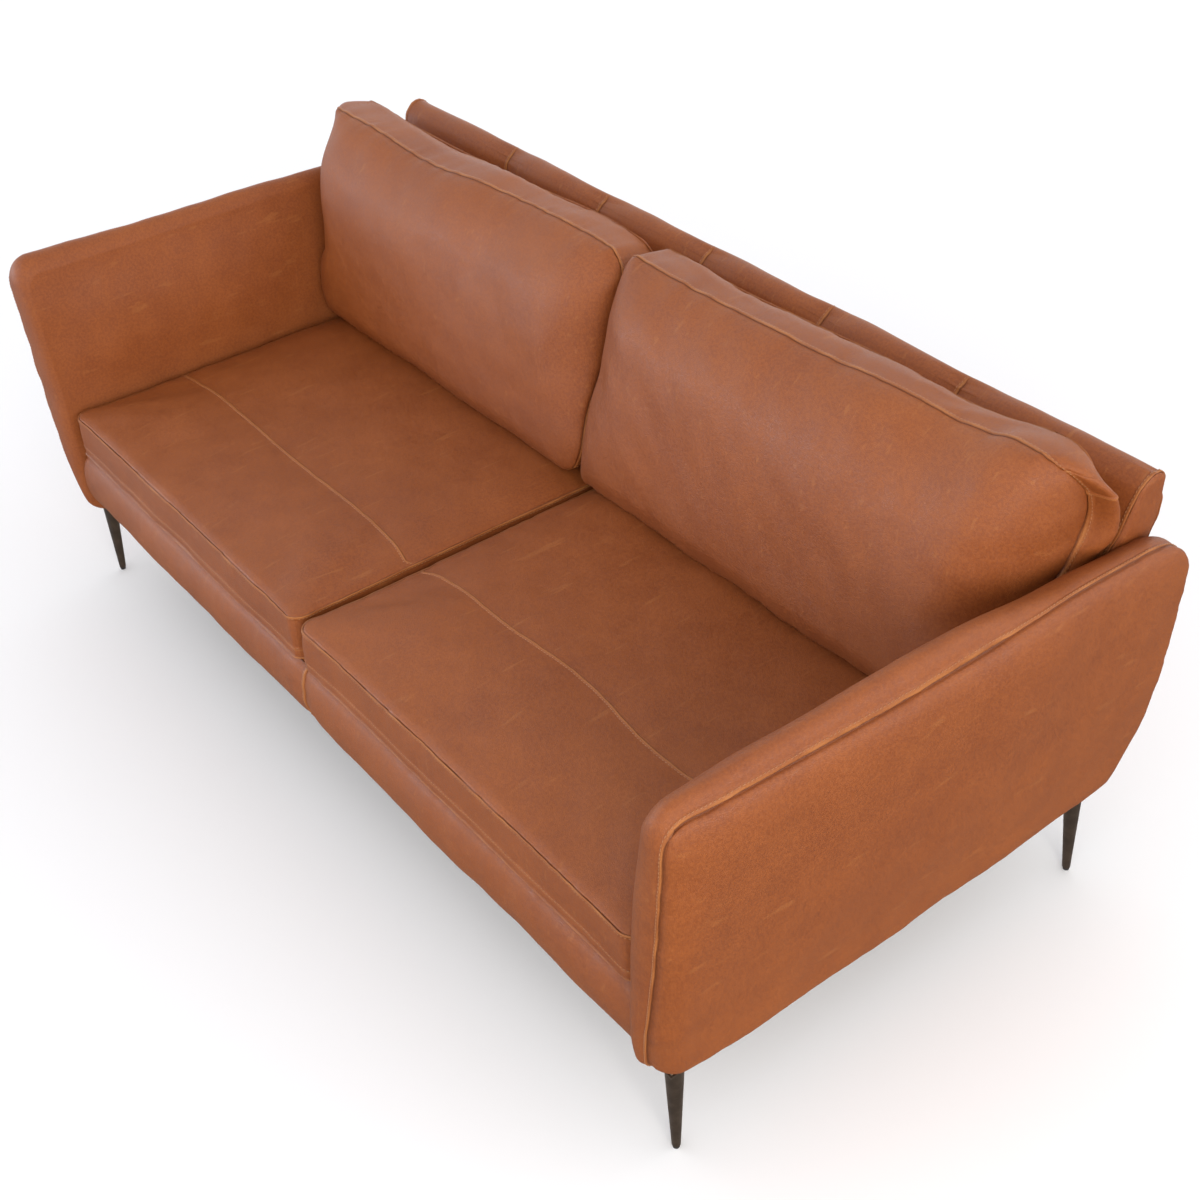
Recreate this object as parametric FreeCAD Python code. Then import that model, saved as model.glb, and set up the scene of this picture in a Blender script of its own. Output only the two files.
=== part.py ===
"""Two-seat leather sofa with slim flared arms, loose seat and back cushions and tapered steel legs.

Millimetres. X runs along the sofa, to the right of a person who faces its front, Y from front to back,
Z up. The origin is on the floor under the middle of the sofa. Every part that has a twin on the left is
drawn on the right, at positive X, and mirrored.
"""

import FreeCAD
import Part

import math
import os

Vec = FreeCAD.Vector

# ---------------------------------------------------------------- driving dimensions
LEATHER = 2.5                    # upholstery leather with its backing
ZERO = 0.0

# Arms: a flared, padded slab. Each pair is the x of the inner and of the outer face at a height.
ARM_BOTTOM, ARM_TOP = 184.0, 724.0
ARM_FRONT, ARM_REAR = -493.0, 500.0
ARM_FACES = ((184.0, 904.0, 962.0), (400.0, 912.0, 996.0), (560.0, 934.0, 1011.0), (674.0, 951.0, 1015.0))
ARM_CREST_X = 985.0
ARM_SEAM_LOW, ARM_SEAM_HIGH = (930.0, 200.0), (997.0, 693.0)   # (x, z) of the plane of the outer seam
ARM_TOE_Y, ARM_KNEE_Z = -478.0, 300.0                          # where the front edge starts to cut back
ARM_FRONT_R, ARM_REAR_R = 38.0, 85.0
ARM_HEEL_Y, ARM_HEEL_Z, ARM_HEEL_BULGE = 458.0, 330.0, 3.0
ARM_FOAM = 14.0
ARM_RAIL_X, ARM_RAIL_TOP = (911.0, 955.0), 225.0
ARM_RAIL_Y = (-452.0, 430.0)
PANEL_THICK, PANEL_X, PANEL_LEAN, PANEL_TOP = 18.0, 934.0, 0.111, 664.0

# Seat frame
FRAME_BOTTOM, FRAME_TOP = 205.0, 315.0
BOARD = 25.0
SIDE_RAIL_X = (877.0, 902.0)
FRONT_RAIL_Y = (-450.0, -425.0)
SPRING_RAIL_Y = (285.0, 310.0)
BACK_RAIL_Y = (438.0, 463.0)
CENTRE_RAIL_TOP = 300.0
BLOCK_LEG, BLOCK_Z = 60.0, (215.0, 300.0)

# Seat suspension
WIRE_R, WIRE_Z = 1.8, 318.2
SPRING_HALF_WIDTH, SPRING_PITCH, SPRING_BARS = 24.0, 26.2, 29
SPRINGS_PER_SEAT, SPRING_FIRST_X, SPRING_STEP = 5, 95.0, 172.0
CLIP_LENGTH, CLIP_PLATE = 14.0, 1.0
FELT_Z, DECK_Z = (321.5, 325.0), (325.2, 326.4)
DUST_Z = (203.0, 204.5)

# Padded border below the seat cushions
BORDER_BACK_Y, BORDER_BULGE = -451.0, 29.0
BORDER_Z = (200.0, 327.0)

# Back: its front face is at BACK_FACE_Y + BACK_RAKE * z
BACK_FACE_Y, BACK_RAKE = 176.9, 0.3
BACK_REAR = 468.0
BACK_BOTTOM, BACK_SHOULDER = 332.0, 771.0
BACK_ENDS = ((332.0, 901.0), (400.0, 909.0), (480.0, 919.0), (560.0, 931.0), (664.0, 945.5), (700.0, 946.0),
             (720.0, 951.0), (770.0, 964.0), (805.0, 967.0))   # (z, half width)
REAR_COVER_BOTTOM = 196.0
BACK_FOAM, BACK_END_FOAM = 25.0, 5.0
RIB_THICK, RIB_TOP, RIB_REAR = 24.0, 745.0, 463.0
RIB_MIDDLE_X = 295.0
RIB_TOE_Y, RIB_SEAT_Z = 312.0, 318.0
TOP_RAIL_Y, TOP_RAIL_Z, TOP_RAIL_HALF = (437.0, 463.0), (745.0, 771.0), 940.0
WEB_HEIGHTS, WEB_WIDTH, WEB_THICK, WEB_ROOM = (400.0, 490.0, 580.0, 670.0), 50.0, 1.8, 2.5

# Legs
FOOT_X, FOOT_Y = 944.0, (-440.0, 412.0)
LEG_TOP, LEG_FOOT_R, LEG_TOP_R, LEG_CANT = 180.0, 6.5, 15.0, 6.0
PLATE_X, PLATE_Y, PLATE_THICK = 38.0, 42.0, 4.0
PLATE_HOLE_X, PLATE_HOLE_Y = 14.0, 16.0
GLIDE_HEIGHT, GLIDE_STEM_R, GLIDE_STEM_TOP = 6.0, 3.0, 22.0

# Fasteners
SCREW_R, SCREW_HEAD_R, SCREW_HEAD_H = 2.0, 4.2, 2.6
SCREW_PLAY = 0.05
BOLT_R, BOLT_HEAD_R, BOLT_HEAD_H = 4.0, 7.0, 5.5
BOLT_Y, BOLT_Z = (-320.0, -60.0, 190.0), 270.0
INSERT_R, INSERT_LENGTH = 6.0, 14.0
WASHER_R, WASHER_THICK = 9.0, 1.6

# Seat cushions
SEAT_X, SEAT_Y, SEAT_Z = (1.5, 905.0), (-474.0, 270.0), (328.0, 436.0)
SEAT_ROUND, SEAT_WRAP = 18.0, 10.0

# Back cushions: a wedge, as (y, z) points, with the half width at each height and its ends seen from above
BACK_GAP = 8.0                   # from the cushion to the front face of the back
CUSHION_FRONT = ((110.0, 441.0), (157.0, 740.0), (186.0, 806.0), (262.0, 856.0))
CUSHION_CROWN = ((326.0, 853.0), (372.0, 800.0))
CUSHION_REAR_TOP_Z = 725.0
CUSHION_ENDS = ((430.0, 909.0), (560.0, 929.0), (640.0, 940.0), (690.0, 945.0), (720.0, 953.0), (770.0, 965.0),
                (866.0, 964.0))
CUSHION_PLAN = ((3.0, 430.0), (3.0, 170.0), (40.0, 100.0), (860.0, 100.0), (930.0, 180.0), (980.0, 300.0),
                (980.0, 430.0))         # (x, y)
CUSHION_ROUND = 12.0

# Zip fasteners
ZIP_HALF, ZIP_GAP, ZIP_TAPE, ZIP_TEETH = 325.0, 4.0, 12.0, 3.0
SEAT_ZIP_X, SEAT_ZIP_Z = 455.0, 383.0
BACK_ZIP_X, BACK_ZIP_Z = 455.0, 500.0
ZIP_PULL_X = ZIP_HALF - 10.0     # the pull's place when the zip is closed, from the zip's middle

SPAN = 1200.0                    # longer than anything that is cut

parts = {}


# ---------------------------------------------------------------- shape helpers
def box(x, y, z):
    """A box from three (low, high) pairs."""
    return Part.makeBox(x[1] - x[0], y[1] - y[0], z[1] - z[0], Vec(x[0], y[0], z[0]))


def rod(start, end, radius):
    """A round bar between two points."""
    a, b = Vec(*start), Vec(*end)
    return Part.makeCylinder(radius, (b - a).Length, a, b - a)


def line(a, b):
    return Part.makeLine(Vec(*a), Vec(*b))


def arc(a, b, c):
    """The arc from a to c by way of b."""
    return Part.Arc(Vec(*a), Vec(*b), Vec(*c)).toShape()


def curve(points):
    """A smooth curve through the points."""
    spline = Part.BSplineCurve()
    spline.interpolate([Vec(*p) for p in points])
    return spline.toShape()


def extruded(edges, direction):
    """The solid swept by a closed ring of edges moved along direction."""
    return Part.Face(Part.Wire(edges)).extrude(Vec(*direction))


def yz_prism(points, x):
    """A polygon of (y, z) points carried from x[0] to x[1]."""
    ring = [Vec(x[0], a, b) for a, b in points]
    return Part.Face(Part.makePolygon(ring + ring[:1])).extrude(Vec(x[1] - x[0], 0, 0))


def xz_prism(points, y):
    """A polygon of (x, z) points carried from y[0] to y[1]."""
    ring = [Vec(a, y[0], b) for a, b in points]
    return Part.Face(Part.makePolygon(ring + ring[:1])).extrude(Vec(0, y[1] - y[0], 0))


def mirrored(shape):
    return shape.mirror(Vec(0, 0, 0), Vec(1, 0, 0))


def both_sides(shapes):
    """The shapes and their twins on the left."""
    return list(shapes) + [mirrored(s) for s in shapes]


def without(shape, tools):
    """The shape with every tool cut away."""
    for tool in tools:
        shape = shape.cut(tool)
    return shape


def add(name, *shapes):
    """Records a node made of one or more separate solids."""
    parts[name] = [solid for shape in shapes for solid in shape.Solids]


def add_pair(stem, shape):
    """Records a right-hand part and its mirrored twin."""
    add(stem + "_right", shape)
    add(stem + "_left", mirrored(shape))


def screw(tip_start, direction, length, play=0.0):
    """A wood screw with a countersunk head, flush at tip_start and pointing along direction."""
    start, along = Vec(*tip_start), Vec(*direction)
    head = Part.makeCone(SCREW_HEAD_R + play, SCREW_R + play, SCREW_HEAD_H, start, along)
    return head.fuse(Part.makeCylinder(SCREW_R + play, length + play, start, along)).removeSplitter()


# ---------------------------------------------------------------- legs
def leg_places():
    """Each leg's name, its side, +1 on the right, and its end, -1 at the front, with the y of its foot."""
    for end, end_name, y in ((-1, "front", FOOT_Y[0]), (1, "rear", FOOT_Y[1])):
        for side, side_name in ((-1, "left"), (1, "right")):
            yield "leg_%s_%s" % (end_name, side_name), side, end, y


def leg_top(side, end, y):
    """The centre of a leg's mounting plate: the leg leans outwards, so its top is nearer the middle."""
    return side * (FOOT_X - LEG_CANT), y - end * LEG_CANT


def plate_holes(side, end, y):
    """The (x, y) of the four screws of one leg."""
    x, middle = leg_top(side, end, y)
    return [(x + i * PLATE_HOLE_X, middle + j * PLATE_HOLE_Y) for i in (-1, 1) for j in (-1, 1)]


def make_legs():
    """Tapered steel legs, each welded to its plate, with a nylon glide pressed into the foot."""
    screws, glides = [], []
    for name, side, end, y in leg_places():
        top_x, top_y = leg_top(side, end, y)
        foot, head = Vec(side * FOOT_X, y, 0), Vec(top_x, top_y, LEG_TOP)
        lean = (head - foot) / LEG_TOP
        start, stop = foot - lean * 10, head + lean * 10
        grow = (LEG_TOP_R - LEG_FOOT_R) / LEG_TOP
        shaft = Part.makeCone(LEG_FOOT_R - 10 * grow, LEG_TOP_R + 10 * grow, (stop - start).Length, start, lean)
        shaft = shaft.common(box((-SPAN, SPAN), (-SPAN, SPAN), (GLIDE_HEIGHT, LEG_TOP)))
        shaft = shaft.cut(rod((foot.x, y, 0), (foot.x, y, GLIDE_STEM_TOP + 0.5), GLIDE_STEM_R + SCREW_PLAY))
        plate = box((top_x - PLATE_X / 2, top_x + PLATE_X / 2), (top_y - PLATE_Y / 2, top_y + PLATE_Y / 2),
                    (LEG_TOP, LEG_TOP + PLATE_THICK))
        places = plate_holes(side, end, y)
        sinks = [screw((x, hy, LEG_TOP), (0, 0, 1), 30, SCREW_PLAY) for x, hy in places]
        add(name, without(shaft.fuse(plate).removeSplitter(), sinks))
        screws += [screw((x, hy, LEG_TOP), (0, 0, 1), 30) for x, hy in places]
        pad = Part.makeCone(LEG_FOOT_R - 1.2, LEG_FOOT_R - 0.4, GLIDE_HEIGHT, Vec(foot.x, y, 0))
        glides.append(pad.fuse(rod((foot.x, y, 0), (foot.x, y, GLIDE_STEM_TOP), GLIDE_STEM_R)))
    add("leg_screws", *screws)
    add("leg_glides", *glides)


# ---------------------------------------------------------------- arms
def arm_side_edges(inset, x):
    """The arm's outline seen from the side, drawn inset millimetres inside itself."""
    front, rear, top, bottom = ARM_FRONT + inset, ARM_REAR - inset, ARM_TOP - inset, ARM_BOTTOM + inset
    half = math.sqrt(0.5)
    r1, r2 = ARM_FRONT_R - inset, ARM_REAR_R - inset
    c1 = (ARM_FRONT + ARM_FRONT_R, ARM_TOP - ARM_FRONT_R)
    c2 = (ARM_REAR - ARM_REAR_R, ARM_TOP - ARM_REAR_R)
    heel = (rear + ARM_HEEL_Y - inset) / 2 + ARM_HEEL_BULGE, (bottom + ARM_HEEL_Z) / 2
    return [
        line((x, ARM_TOE_Y + inset, bottom), (x, front, ARM_KNEE_Z)),
        line((x, front, ARM_KNEE_Z), (x, front, c1[1])),
        arc((x, front, c1[1]), (x, c1[0] - r1 * half, c1[1] + r1 * half), (x, c1[0], top)),
        line((x, c1[0], top), (x, c2[0], top)),
        arc((x, c2[0], top), (x, c2[0] + r2 * half, c2[1] + r2 * half), (x, rear, c2[1])),
        line((x, rear, c2[1]), (x, rear, ARM_HEEL_Z)),
        arc((x, rear, ARM_HEEL_Z), (x, heel[0], heel[1]), (x, ARM_HEEL_Y - inset, bottom)),
        line((x, ARM_HEEL_Y - inset, bottom), (x, ARM_TOE_Y + inset, bottom)),
    ]


def arm_block(inset):
    """The right arm's padded volume, inset millimetres inside its leather face."""
    y = -SPAN / 2
    inner = [(a + inset, y, z) for z, a, b in ARM_FACES]
    outer = [(b - inset, y, z) for z, a, b in ARM_FACES]
    section = [
        curve(inner),
        arc(inner[-1], (ARM_CREST_X, y, ARM_TOP - inset), outer[-1]),
        curve(outer),
        line(outer[0], inner[0]),
    ]
    profile = extruded(arm_side_edges(inset, ARM_FACES[0][1] - 40), (200, 0, 0))
    return extruded(section, (0, SPAN, 0)).common(profile)


def seam_side():
    """Everything outside the plane of the right arm's outer seam."""
    (x0, z0), (x1, z1) = ARM_SEAM_LOW, ARM_SEAM_HIGH
    slope = (x1 - x0) / (z1 - z0)
    low, high = 100.0, 800.0
    ring = [(x0 + (low - z0) * slope, low), (SPAN, low), (SPAN, high), (x0 + (high - z0) * slope, high)]
    return xz_prism(ring, (-SPAN, SPAN))


def arm_bolt(y):
    """A hexagon bolt through the side rail into the arm's plywood, with its washer and threaded insert."""
    head_x = SIDE_RAIL_X[0] - WASHER_THICK
    shank = rod((head_x, y, BOLT_Z), (PANEL_X + 18, y, BOLT_Z), BOLT_R)
    ring = [Vec(head_x - BOLT_HEAD_H, y + BOLT_HEAD_R * math.cos(a), BOLT_Z + BOLT_HEAD_R * math.sin(a))
            for a in [math.radians(60 * k) for k in range(6)]]
    head = Part.Face(Part.makePolygon(ring + ring[:1])).extrude(Vec(BOLT_HEAD_H, 0, 0))
    washer = rod((head_x, y, BOLT_Z), (SIDE_RAIL_X[0], y, BOLT_Z), WASHER_R)
    washer = washer.cut(rod((head_x, y, BOLT_Z), (SIDE_RAIL_X[0], y, BOLT_Z), BOLT_R + 0.3))
    middle = PANEL_X + PANEL_LEAN * (BOLT_Z - ARM_RAIL_TOP)
    ends = (middle - INSERT_LENGTH / 2, y, BOLT_Z), (middle + INSERT_LENGTH / 2, y, BOLT_Z)
    insert = rod(*ends, INSERT_R).cut(rod(*ends, BOLT_R + SCREW_PLAY))
    return shank.fuse(head).removeSplitter(), washer, insert


def make_arms():
    """Plywood panel on a hardwood rail, foam all round it, and a leather cover in two panels."""
    skin, pad = arm_block(ZERO), arm_block(LEATHER)
    outside = seam_side()
    rail = box(ARM_RAIL_X, ARM_RAIL_Y, (ARM_BOTTOM + LEATHER, ARM_RAIL_TOP))
    low = (PANEL_X, ARM_RAIL_TOP)
    high = (PANEL_X + PANEL_LEAN * (PANEL_TOP - ARM_RAIL_TOP), PANEL_TOP)
    half = PANEL_THICK / 2
    slab = xz_prism([(low[0] - half, low[1]), (low[0] + half, low[1]), (high[0] + half, high[1]),
                     (high[0] - half, high[1])], (-SPAN, SPAN))
    outline = extruded(arm_side_edges(LEATHER + ARM_FOAM + 4, 800), (400, 0, 0))
    panel = slab.common(outline)

    bolts = [arm_bolt(y) for y in BOLT_Y]
    bore_end = PANEL_X + 30
    panel_bores = [rod((SIDE_RAIL_X[0], y, BOLT_Z), (bore_end, y, BOLT_Z), INSERT_R + SCREW_PLAY) for y in BOLT_Y]
    foam_bores = [rod((SIDE_RAIL_X[0], y, BOLT_Z), (bore_end, y, BOLT_Z), INSERT_R + 1) for y in BOLT_Y]
    leg_bores = [screw((x, y, LEG_TOP), (0, 0, 1), 30, SCREW_PLAY)
                 for name, side, end, foot_y in leg_places() if side > 0
                 for x, y in plate_holes(side, end, foot_y)]

    shell = without(skin.cut(pad), leg_bores + foam_bores)
    add_pair("arm_cover_outer", shell.common(outside))
    add_pair("arm_cover_inner", shell.cut(outside))
    add_pair("arm_padding", without(pad, [rail, panel] + foam_bores))
    add_pair("arm_rail", without(rail, leg_bores))
    add_pair("arm_panel", without(panel, panel_bores))
    add("arm_bolts", *both_sides([piece for bolt in bolts for piece in bolt]))


# ---------------------------------------------------------------- seat frame
def back_screw_places():
    """Screws that hold the ribs: (head point, direction, length), for the right-hand half."""
    places = [((SIDE_RAIL_X[0] - RIB_THICK, y, z), (1, 0, 0), 42) for y in (345.0, 400.0) for z in (235.0, 285.0)]
    places += [((RIB_MIDDLE_X, BACK_RAIL_Y[1], z), (0, -1, 0), 60) for z in (235.0, 285.0)]
    return places


def make_seat_frame():
    """Front, rear and side rails, a centre rail, glued corner blocks and the dust cover below."""
    z = (FRAME_BOTTOM, FRAME_TOP)
    inner = SIDE_RAIL_X[0]
    bolt_bores = [rod((inner - 1, y, BOLT_Z), (SIDE_RAIL_X[1] + 1, y, BOLT_Z), BOLT_R + 0.5) for y in BOLT_Y]
    screw_bores = [screw(*place, SCREW_PLAY) for place in back_screw_places()]
    side_rail = box(SIDE_RAIL_X, (FRONT_RAIL_Y[1], BACK_RAIL_Y[1]), z)
    add_pair("side_rail", without(side_rail, bolt_bores + screw_bores))
    add("front_rail", box((-SIDE_RAIL_X[1], SIDE_RAIL_X[1]), FRONT_RAIL_Y, z))
    add("spring_rail", box((-inner, inner), SPRING_RAIL_Y, z))
    add("back_rail", without(box((-inner, inner), BACK_RAIL_Y, z), both_sides(screw_bores)))
    centre = (-BOARD / 2, BOARD / 2), (FRONT_RAIL_Y[1], SPRING_RAIL_Y[0]), (FRAME_BOTTOM, CENTRE_RAIL_TOP)
    add("centre_rail", box(*centre))

    def block(y, inwards):
        ring = [Vec(inner, y, BLOCK_Z[0]), Vec(inner - BLOCK_LEG, y, BLOCK_Z[0]),
                Vec(inner, y + inwards * BLOCK_LEG, BLOCK_Z[0])]
        return Part.Face(Part.makePolygon(ring + ring[:1])).extrude(Vec(0, 0, BLOCK_Z[1] - BLOCK_Z[0]))

    add("corner_blocks", *both_sides([block(FRONT_RAIL_Y[1], 1), block(SPRING_RAIL_Y[0], -1)]))
    add("dust_cover", box((-900.0, 900.0), (-448.0, 461.0), DUST_Z))


# ---------------------------------------------------------------- seat suspension
def zigzag_spring():
    """One sinuous spring along Y with straight bars joined by half turns, its middle on x = 0."""
    turn = SPRING_PITCH / 2
    reach = SPRING_HALF_WIDTH - turn
    length = SPRING_PITCH * (SPRING_BARS - 1)
    first = (FRONT_RAIL_Y[0] + SPRING_RAIL_Y[1]) / 2 - length / 2
    edges = []
    for k in range(SPRING_BARS):
        y, way = first + k * SPRING_PITCH, 1 if k % 2 == 0 else -1
        edges.append(line((-way * reach, y, WIRE_Z), (way * reach, y, WIRE_Z)))
        if k < SPRING_BARS - 1:
            edges.append(arc((way * reach, y, WIRE_Z), (way * (reach + turn), y + turn, WIRE_Z),
                             (way * reach, y + SPRING_PITCH, WIRE_Z)))
    path = Part.Wire(edges)
    ring = Part.Wire(Part.makeCircle(WIRE_R, Vec(-reach, first, WIRE_Z), Vec(1, 0, 0)))
    return path.makePipeShell([ring], True, False), first, first + length


def spring_clip(y):
    """A steel clip on a rail, curled round the spring's end bar."""
    half = CLIP_LENGTH / 2
    curl = rod((-half, y, WIRE_Z), (half, y, WIRE_Z), 3.0)
    plate = box((-half, half), (y - 12, y + 12), (FRAME_TOP, FRAME_TOP + CLIP_PLATE))
    return curl.fuse(plate).removeSplitter().cut(rod((-half, y, WIRE_Z), (half, y, WIRE_Z), WIRE_R + 0.15))


def moved(shape, x):
    copy = shape.copy()
    copy.translate(Vec(x, 0, 0))
    return copy


def make_suspension():
    """Sinuous springs from the front rail to the spring rail, their clips, and the cloths over them."""
    spring, first, last = zigzag_spring()
    places = [SPRING_FIRST_X + k * SPRING_STEP for k in range(SPRINGS_PER_SEAT)]
    add("seat_springs_right", *[moved(spring, x) for x in places])
    add("seat_springs_left", *[moved(spring, -x) for x in places])
    add("spring_clips", *[moved(spring_clip(y), side * x) for y in (first, last) for side in (-1, 1) for x in places])
    reach = (-SIDE_RAIL_X[0], SIDE_RAIL_X[0])
    add("spring_felt", box(reach, (FRONT_RAIL_Y[0] + 2, SPRING_RAIL_Y[1] - 6), FELT_Z))
    add("deck_cloth", box(reach, (FRONT_RAIL_Y[0] + 2, SPRING_RAIL_Y[1] - 6), DECK_Z))


def border_block(inset, x, open_back):
    """The padded roll on the front rail, between two x values."""
    y = BORDER_BACK_Y + (5 if open_back else 0)
    low, high = BORDER_Z[0] + inset, BORDER_Z[1] - inset
    front = BORDER_BACK_Y - BORDER_BULGE + inset
    edges = [
        line((x[0], y, low), (x[0], BORDER_BACK_Y, low)) if open_back else None,
        arc((x[0], BORDER_BACK_Y, low), (x[0], front, (low + high) / 2), (x[0], BORDER_BACK_Y, high)),
        line((x[0], BORDER_BACK_Y, high), (x[0], y, high)) if open_back else None,
        line((x[0], y, high), (x[0], y, low)),
    ]
    return extruded([e for e in edges if e], (x[1] - x[0], 0, 0))


def make_border():
    """Foam roll and its leather, in two lengths that meet at a seam in the middle."""
    width = SIDE_RAIL_X[1]
    add("border_padding", border_block(LEATHER, (-width, width), False))
    half = (0.2, width)
    add_pair("border_cover", border_block(ZERO, half, False).cut(border_block(LEATHER, half, True)))


# ---------------------------------------------------------------- back
def back_face(z):
    """The y of the back's front face at height z."""
    return BACK_FACE_Y + BACK_RAKE * z


def back_ends(inset, low, high):
    """The back's outline seen from the front, as (x, z) points, with its ends drawn in by inset."""
    right = [(BACK_ENDS[0][1] - inset, low)] + [(w - inset, z) for z, w in BACK_ENDS[:-1]]
    right.append((BACK_ENDS[-1][1] - inset, high))
    return right + [(-x, z) for x, z in reversed(right)]


def back_block(inset, ends, bottom=0.0):
    """The back's volume drawn in by inset, and by ends at its two ends; bottom lets it down."""
    x, low = -SPAN, BACK_BOTTOM - bottom
    front = back_face(BACK_SHOULDER) + inset
    rear = BACK_REAR - inset
    edges = [
        line((x, back_face(low) + inset, low), (x, front, BACK_SHOULDER)),
        arc((x, front, BACK_SHOULDER), (x, (front + rear) / 2, BACK_SHOULDER + (rear - front) / 2),
            (x, rear, BACK_SHOULDER)),
        line((x, rear, BACK_SHOULDER), (x, rear, low)),
        line((x, rear, low), (x, back_face(low) + inset, low)),
    ]
    bulk = extruded(edges, (2 * SPAN, 0, 0))
    return bulk.common(xz_prism(back_ends(ends, low - 1, BACK_ENDS[-1][0]), (-SPAN, SPAN)))


def rib(x):
    """A plywood rib of the back, notched over the back rail; x is its (low, high)."""
    front = LEATHER + BACK_FOAM + WEB_ROOM
    ring = [
        (RIB_TOE_Y, FRAME_BOTTOM), (BACK_RAIL_Y[0], FRAME_BOTTOM), (BACK_RAIL_Y[0], FRAME_TOP),
        (RIB_REAR, FRAME_TOP), (RIB_REAR, RIB_TOP), (back_face(RIB_TOP) + front, RIB_TOP),
        (back_face(BACK_BOTTOM) + front, BACK_BOTTOM), (back_face(BACK_BOTTOM) + front, RIB_SEAT_Z),
        (RIB_TOE_Y, RIB_SEAT_Z),
    ]
    return yz_prism(ring, x)


def make_back():
    """Ribs and top rail, webbing, foam, and leather front, ends and rear."""
    inner = SIDE_RAIL_X[0]
    screws = [screw(*place) for place in back_screw_places()]
    bores = [screw(*place, SCREW_PLAY) for place in back_screw_places()]
    ribs = [rib((inner - RIB_THICK, inner)), rib((RIB_MIDDLE_X - RIB_THICK / 2, RIB_MIDDLE_X + RIB_THICK / 2))]
    add("back_ribs", *both_sides([without(shape, bores) for shape in ribs]))
    add("back_screws", *both_sides(screws))
    add("back_top_rail", box((-TOP_RAIL_HALF, TOP_RAIL_HALF), TOP_RAIL_Y, TOP_RAIL_Z))

    straps = []
    for z in WEB_HEIGHTS:
        strap = box((-inner, inner), (-WEB_THICK / 2, WEB_THICK / 2), (-WEB_WIDTH / 2, WEB_WIDTH / 2))
        strap.rotate(Vec(0, 0, 0), Vec(1, 0, 0), -math.degrees(math.atan(BACK_RAKE)))
        strap.translate(Vec(0, back_face(z) + LEATHER + BACK_FOAM + WEB_ROOM / 2, z))
        straps.append(strap)
    add("back_webbing", *straps)

    slab = (BACK_REAR - LEATHER, BACK_REAR)
    rear = xz_prism(back_ends(1.0, REAR_COVER_BOTTOM, BACK_ENDS[-1][0]), slab)
    rear = rear.common(box((-SPAN, SPAN), slab, (REAR_COVER_BOTTOM, BACK_SHOULDER)))
    ends_in = xz_prism(back_ends(LEATHER, BACK_BOTTOM - 5, BACK_ENDS[-1][0] + 20), (-SPAN, SPAN))
    shell = back_block(ZERO, ZERO).cut(back_block(LEATHER, LEATHER, 5)).cut(rear)
    add("back_cover_front", shell.common(ends_in))
    add("back_cover_ends", shell.cut(ends_in))
    add("back_cover_rear", rear)

    front = LEATHER + BACK_FOAM
    low, high = BACK_BOTTOM - 5, BACK_SHOULDER
    core = yz_prism([(back_face(low) + front, low), (back_face(high) + front, high), (BACK_REAR + 5, high),
                     (BACK_REAR + 5, low)], (-SPAN, SPAN))
    core = core.common(xz_prism(back_ends(LEATHER + BACK_END_FOAM, low - 1, 900.0), (-SPAN, SPAN)))
    add("back_padding", back_block(LEATHER, LEATHER).cut(core))


# ---------------------------------------------------------------- zip fasteners
def zip_parts():
    """The slot, room, strip and pull of a zip whose middle is the origin, in a face that looks along +Y."""
    slot = box((-ZIP_HALF, ZIP_HALF), (-3.0, 1.0), (-ZIP_GAP, ZIP_GAP))
    room = box((-ZIP_HALF - 9, ZIP_HALF + 9), (-4.1, -LEATHER + 0.3), (-ZIP_TAPE - 1, ZIP_TAPE + 1))
    tape = box((-ZIP_HALF - 8, ZIP_HALF + 8), (-3.9, -2.7), (-ZIP_TAPE, ZIP_TAPE))
    teeth = box((-ZIP_HALF + 1, ZIP_HALF - 1), (-2.7, -0.4), (-ZIP_TEETH, ZIP_TEETH))
    strip = tape.fuse(teeth).removeSplitter()
    slider = box((-5.0, 5.0), (0.6, 3.4), (-4.5, 4.5))
    slider = slider.makeFillet(1.2, slider.Edges)
    tab = box((-3.0, 3.0), (3.0, 4.5), (-21.0, 2.0)).fuse(rod((0, 3.0, -21.0), (0, 4.5, -21.0), 3.0))
    tab = tab.cut(rod((0, 2.0, -19.0), (0, 5.0, -19.0), 1.6)).cut(box((-1.2, 1.2), (2.0, 5.0), (-15.0, -6.0)))
    pull = slider.fuse(tab).removeSplitter()
    pull.translate(Vec(ZIP_PULL_X, 0, 0))
    return slot, room, strip, pull


def placed_zip(x, y, z, lean):
    """The zip's four shapes on a face through (x, y, z) that leans back by lean degrees."""
    shapes = []
    for shape in zip_parts():
        shape.rotate(Vec(0, 0, 0), Vec(1, 0, 0), -lean)
        shape.translate(Vec(x, y, z))
        shapes.append(shape)
    return shapes


# ---------------------------------------------------------------- cushions
def rounded_box(inset, radius):
    """The right seat cushion's volume, drawn in by inset, with rounded edges."""
    x, y, z = [(low + inset, high - inset) for low, high in (SEAT_X, SEAT_Y, SEAT_Z)]
    block = box(x, y, z)
    return block.makeFillet(radius, block.Edges)


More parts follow.
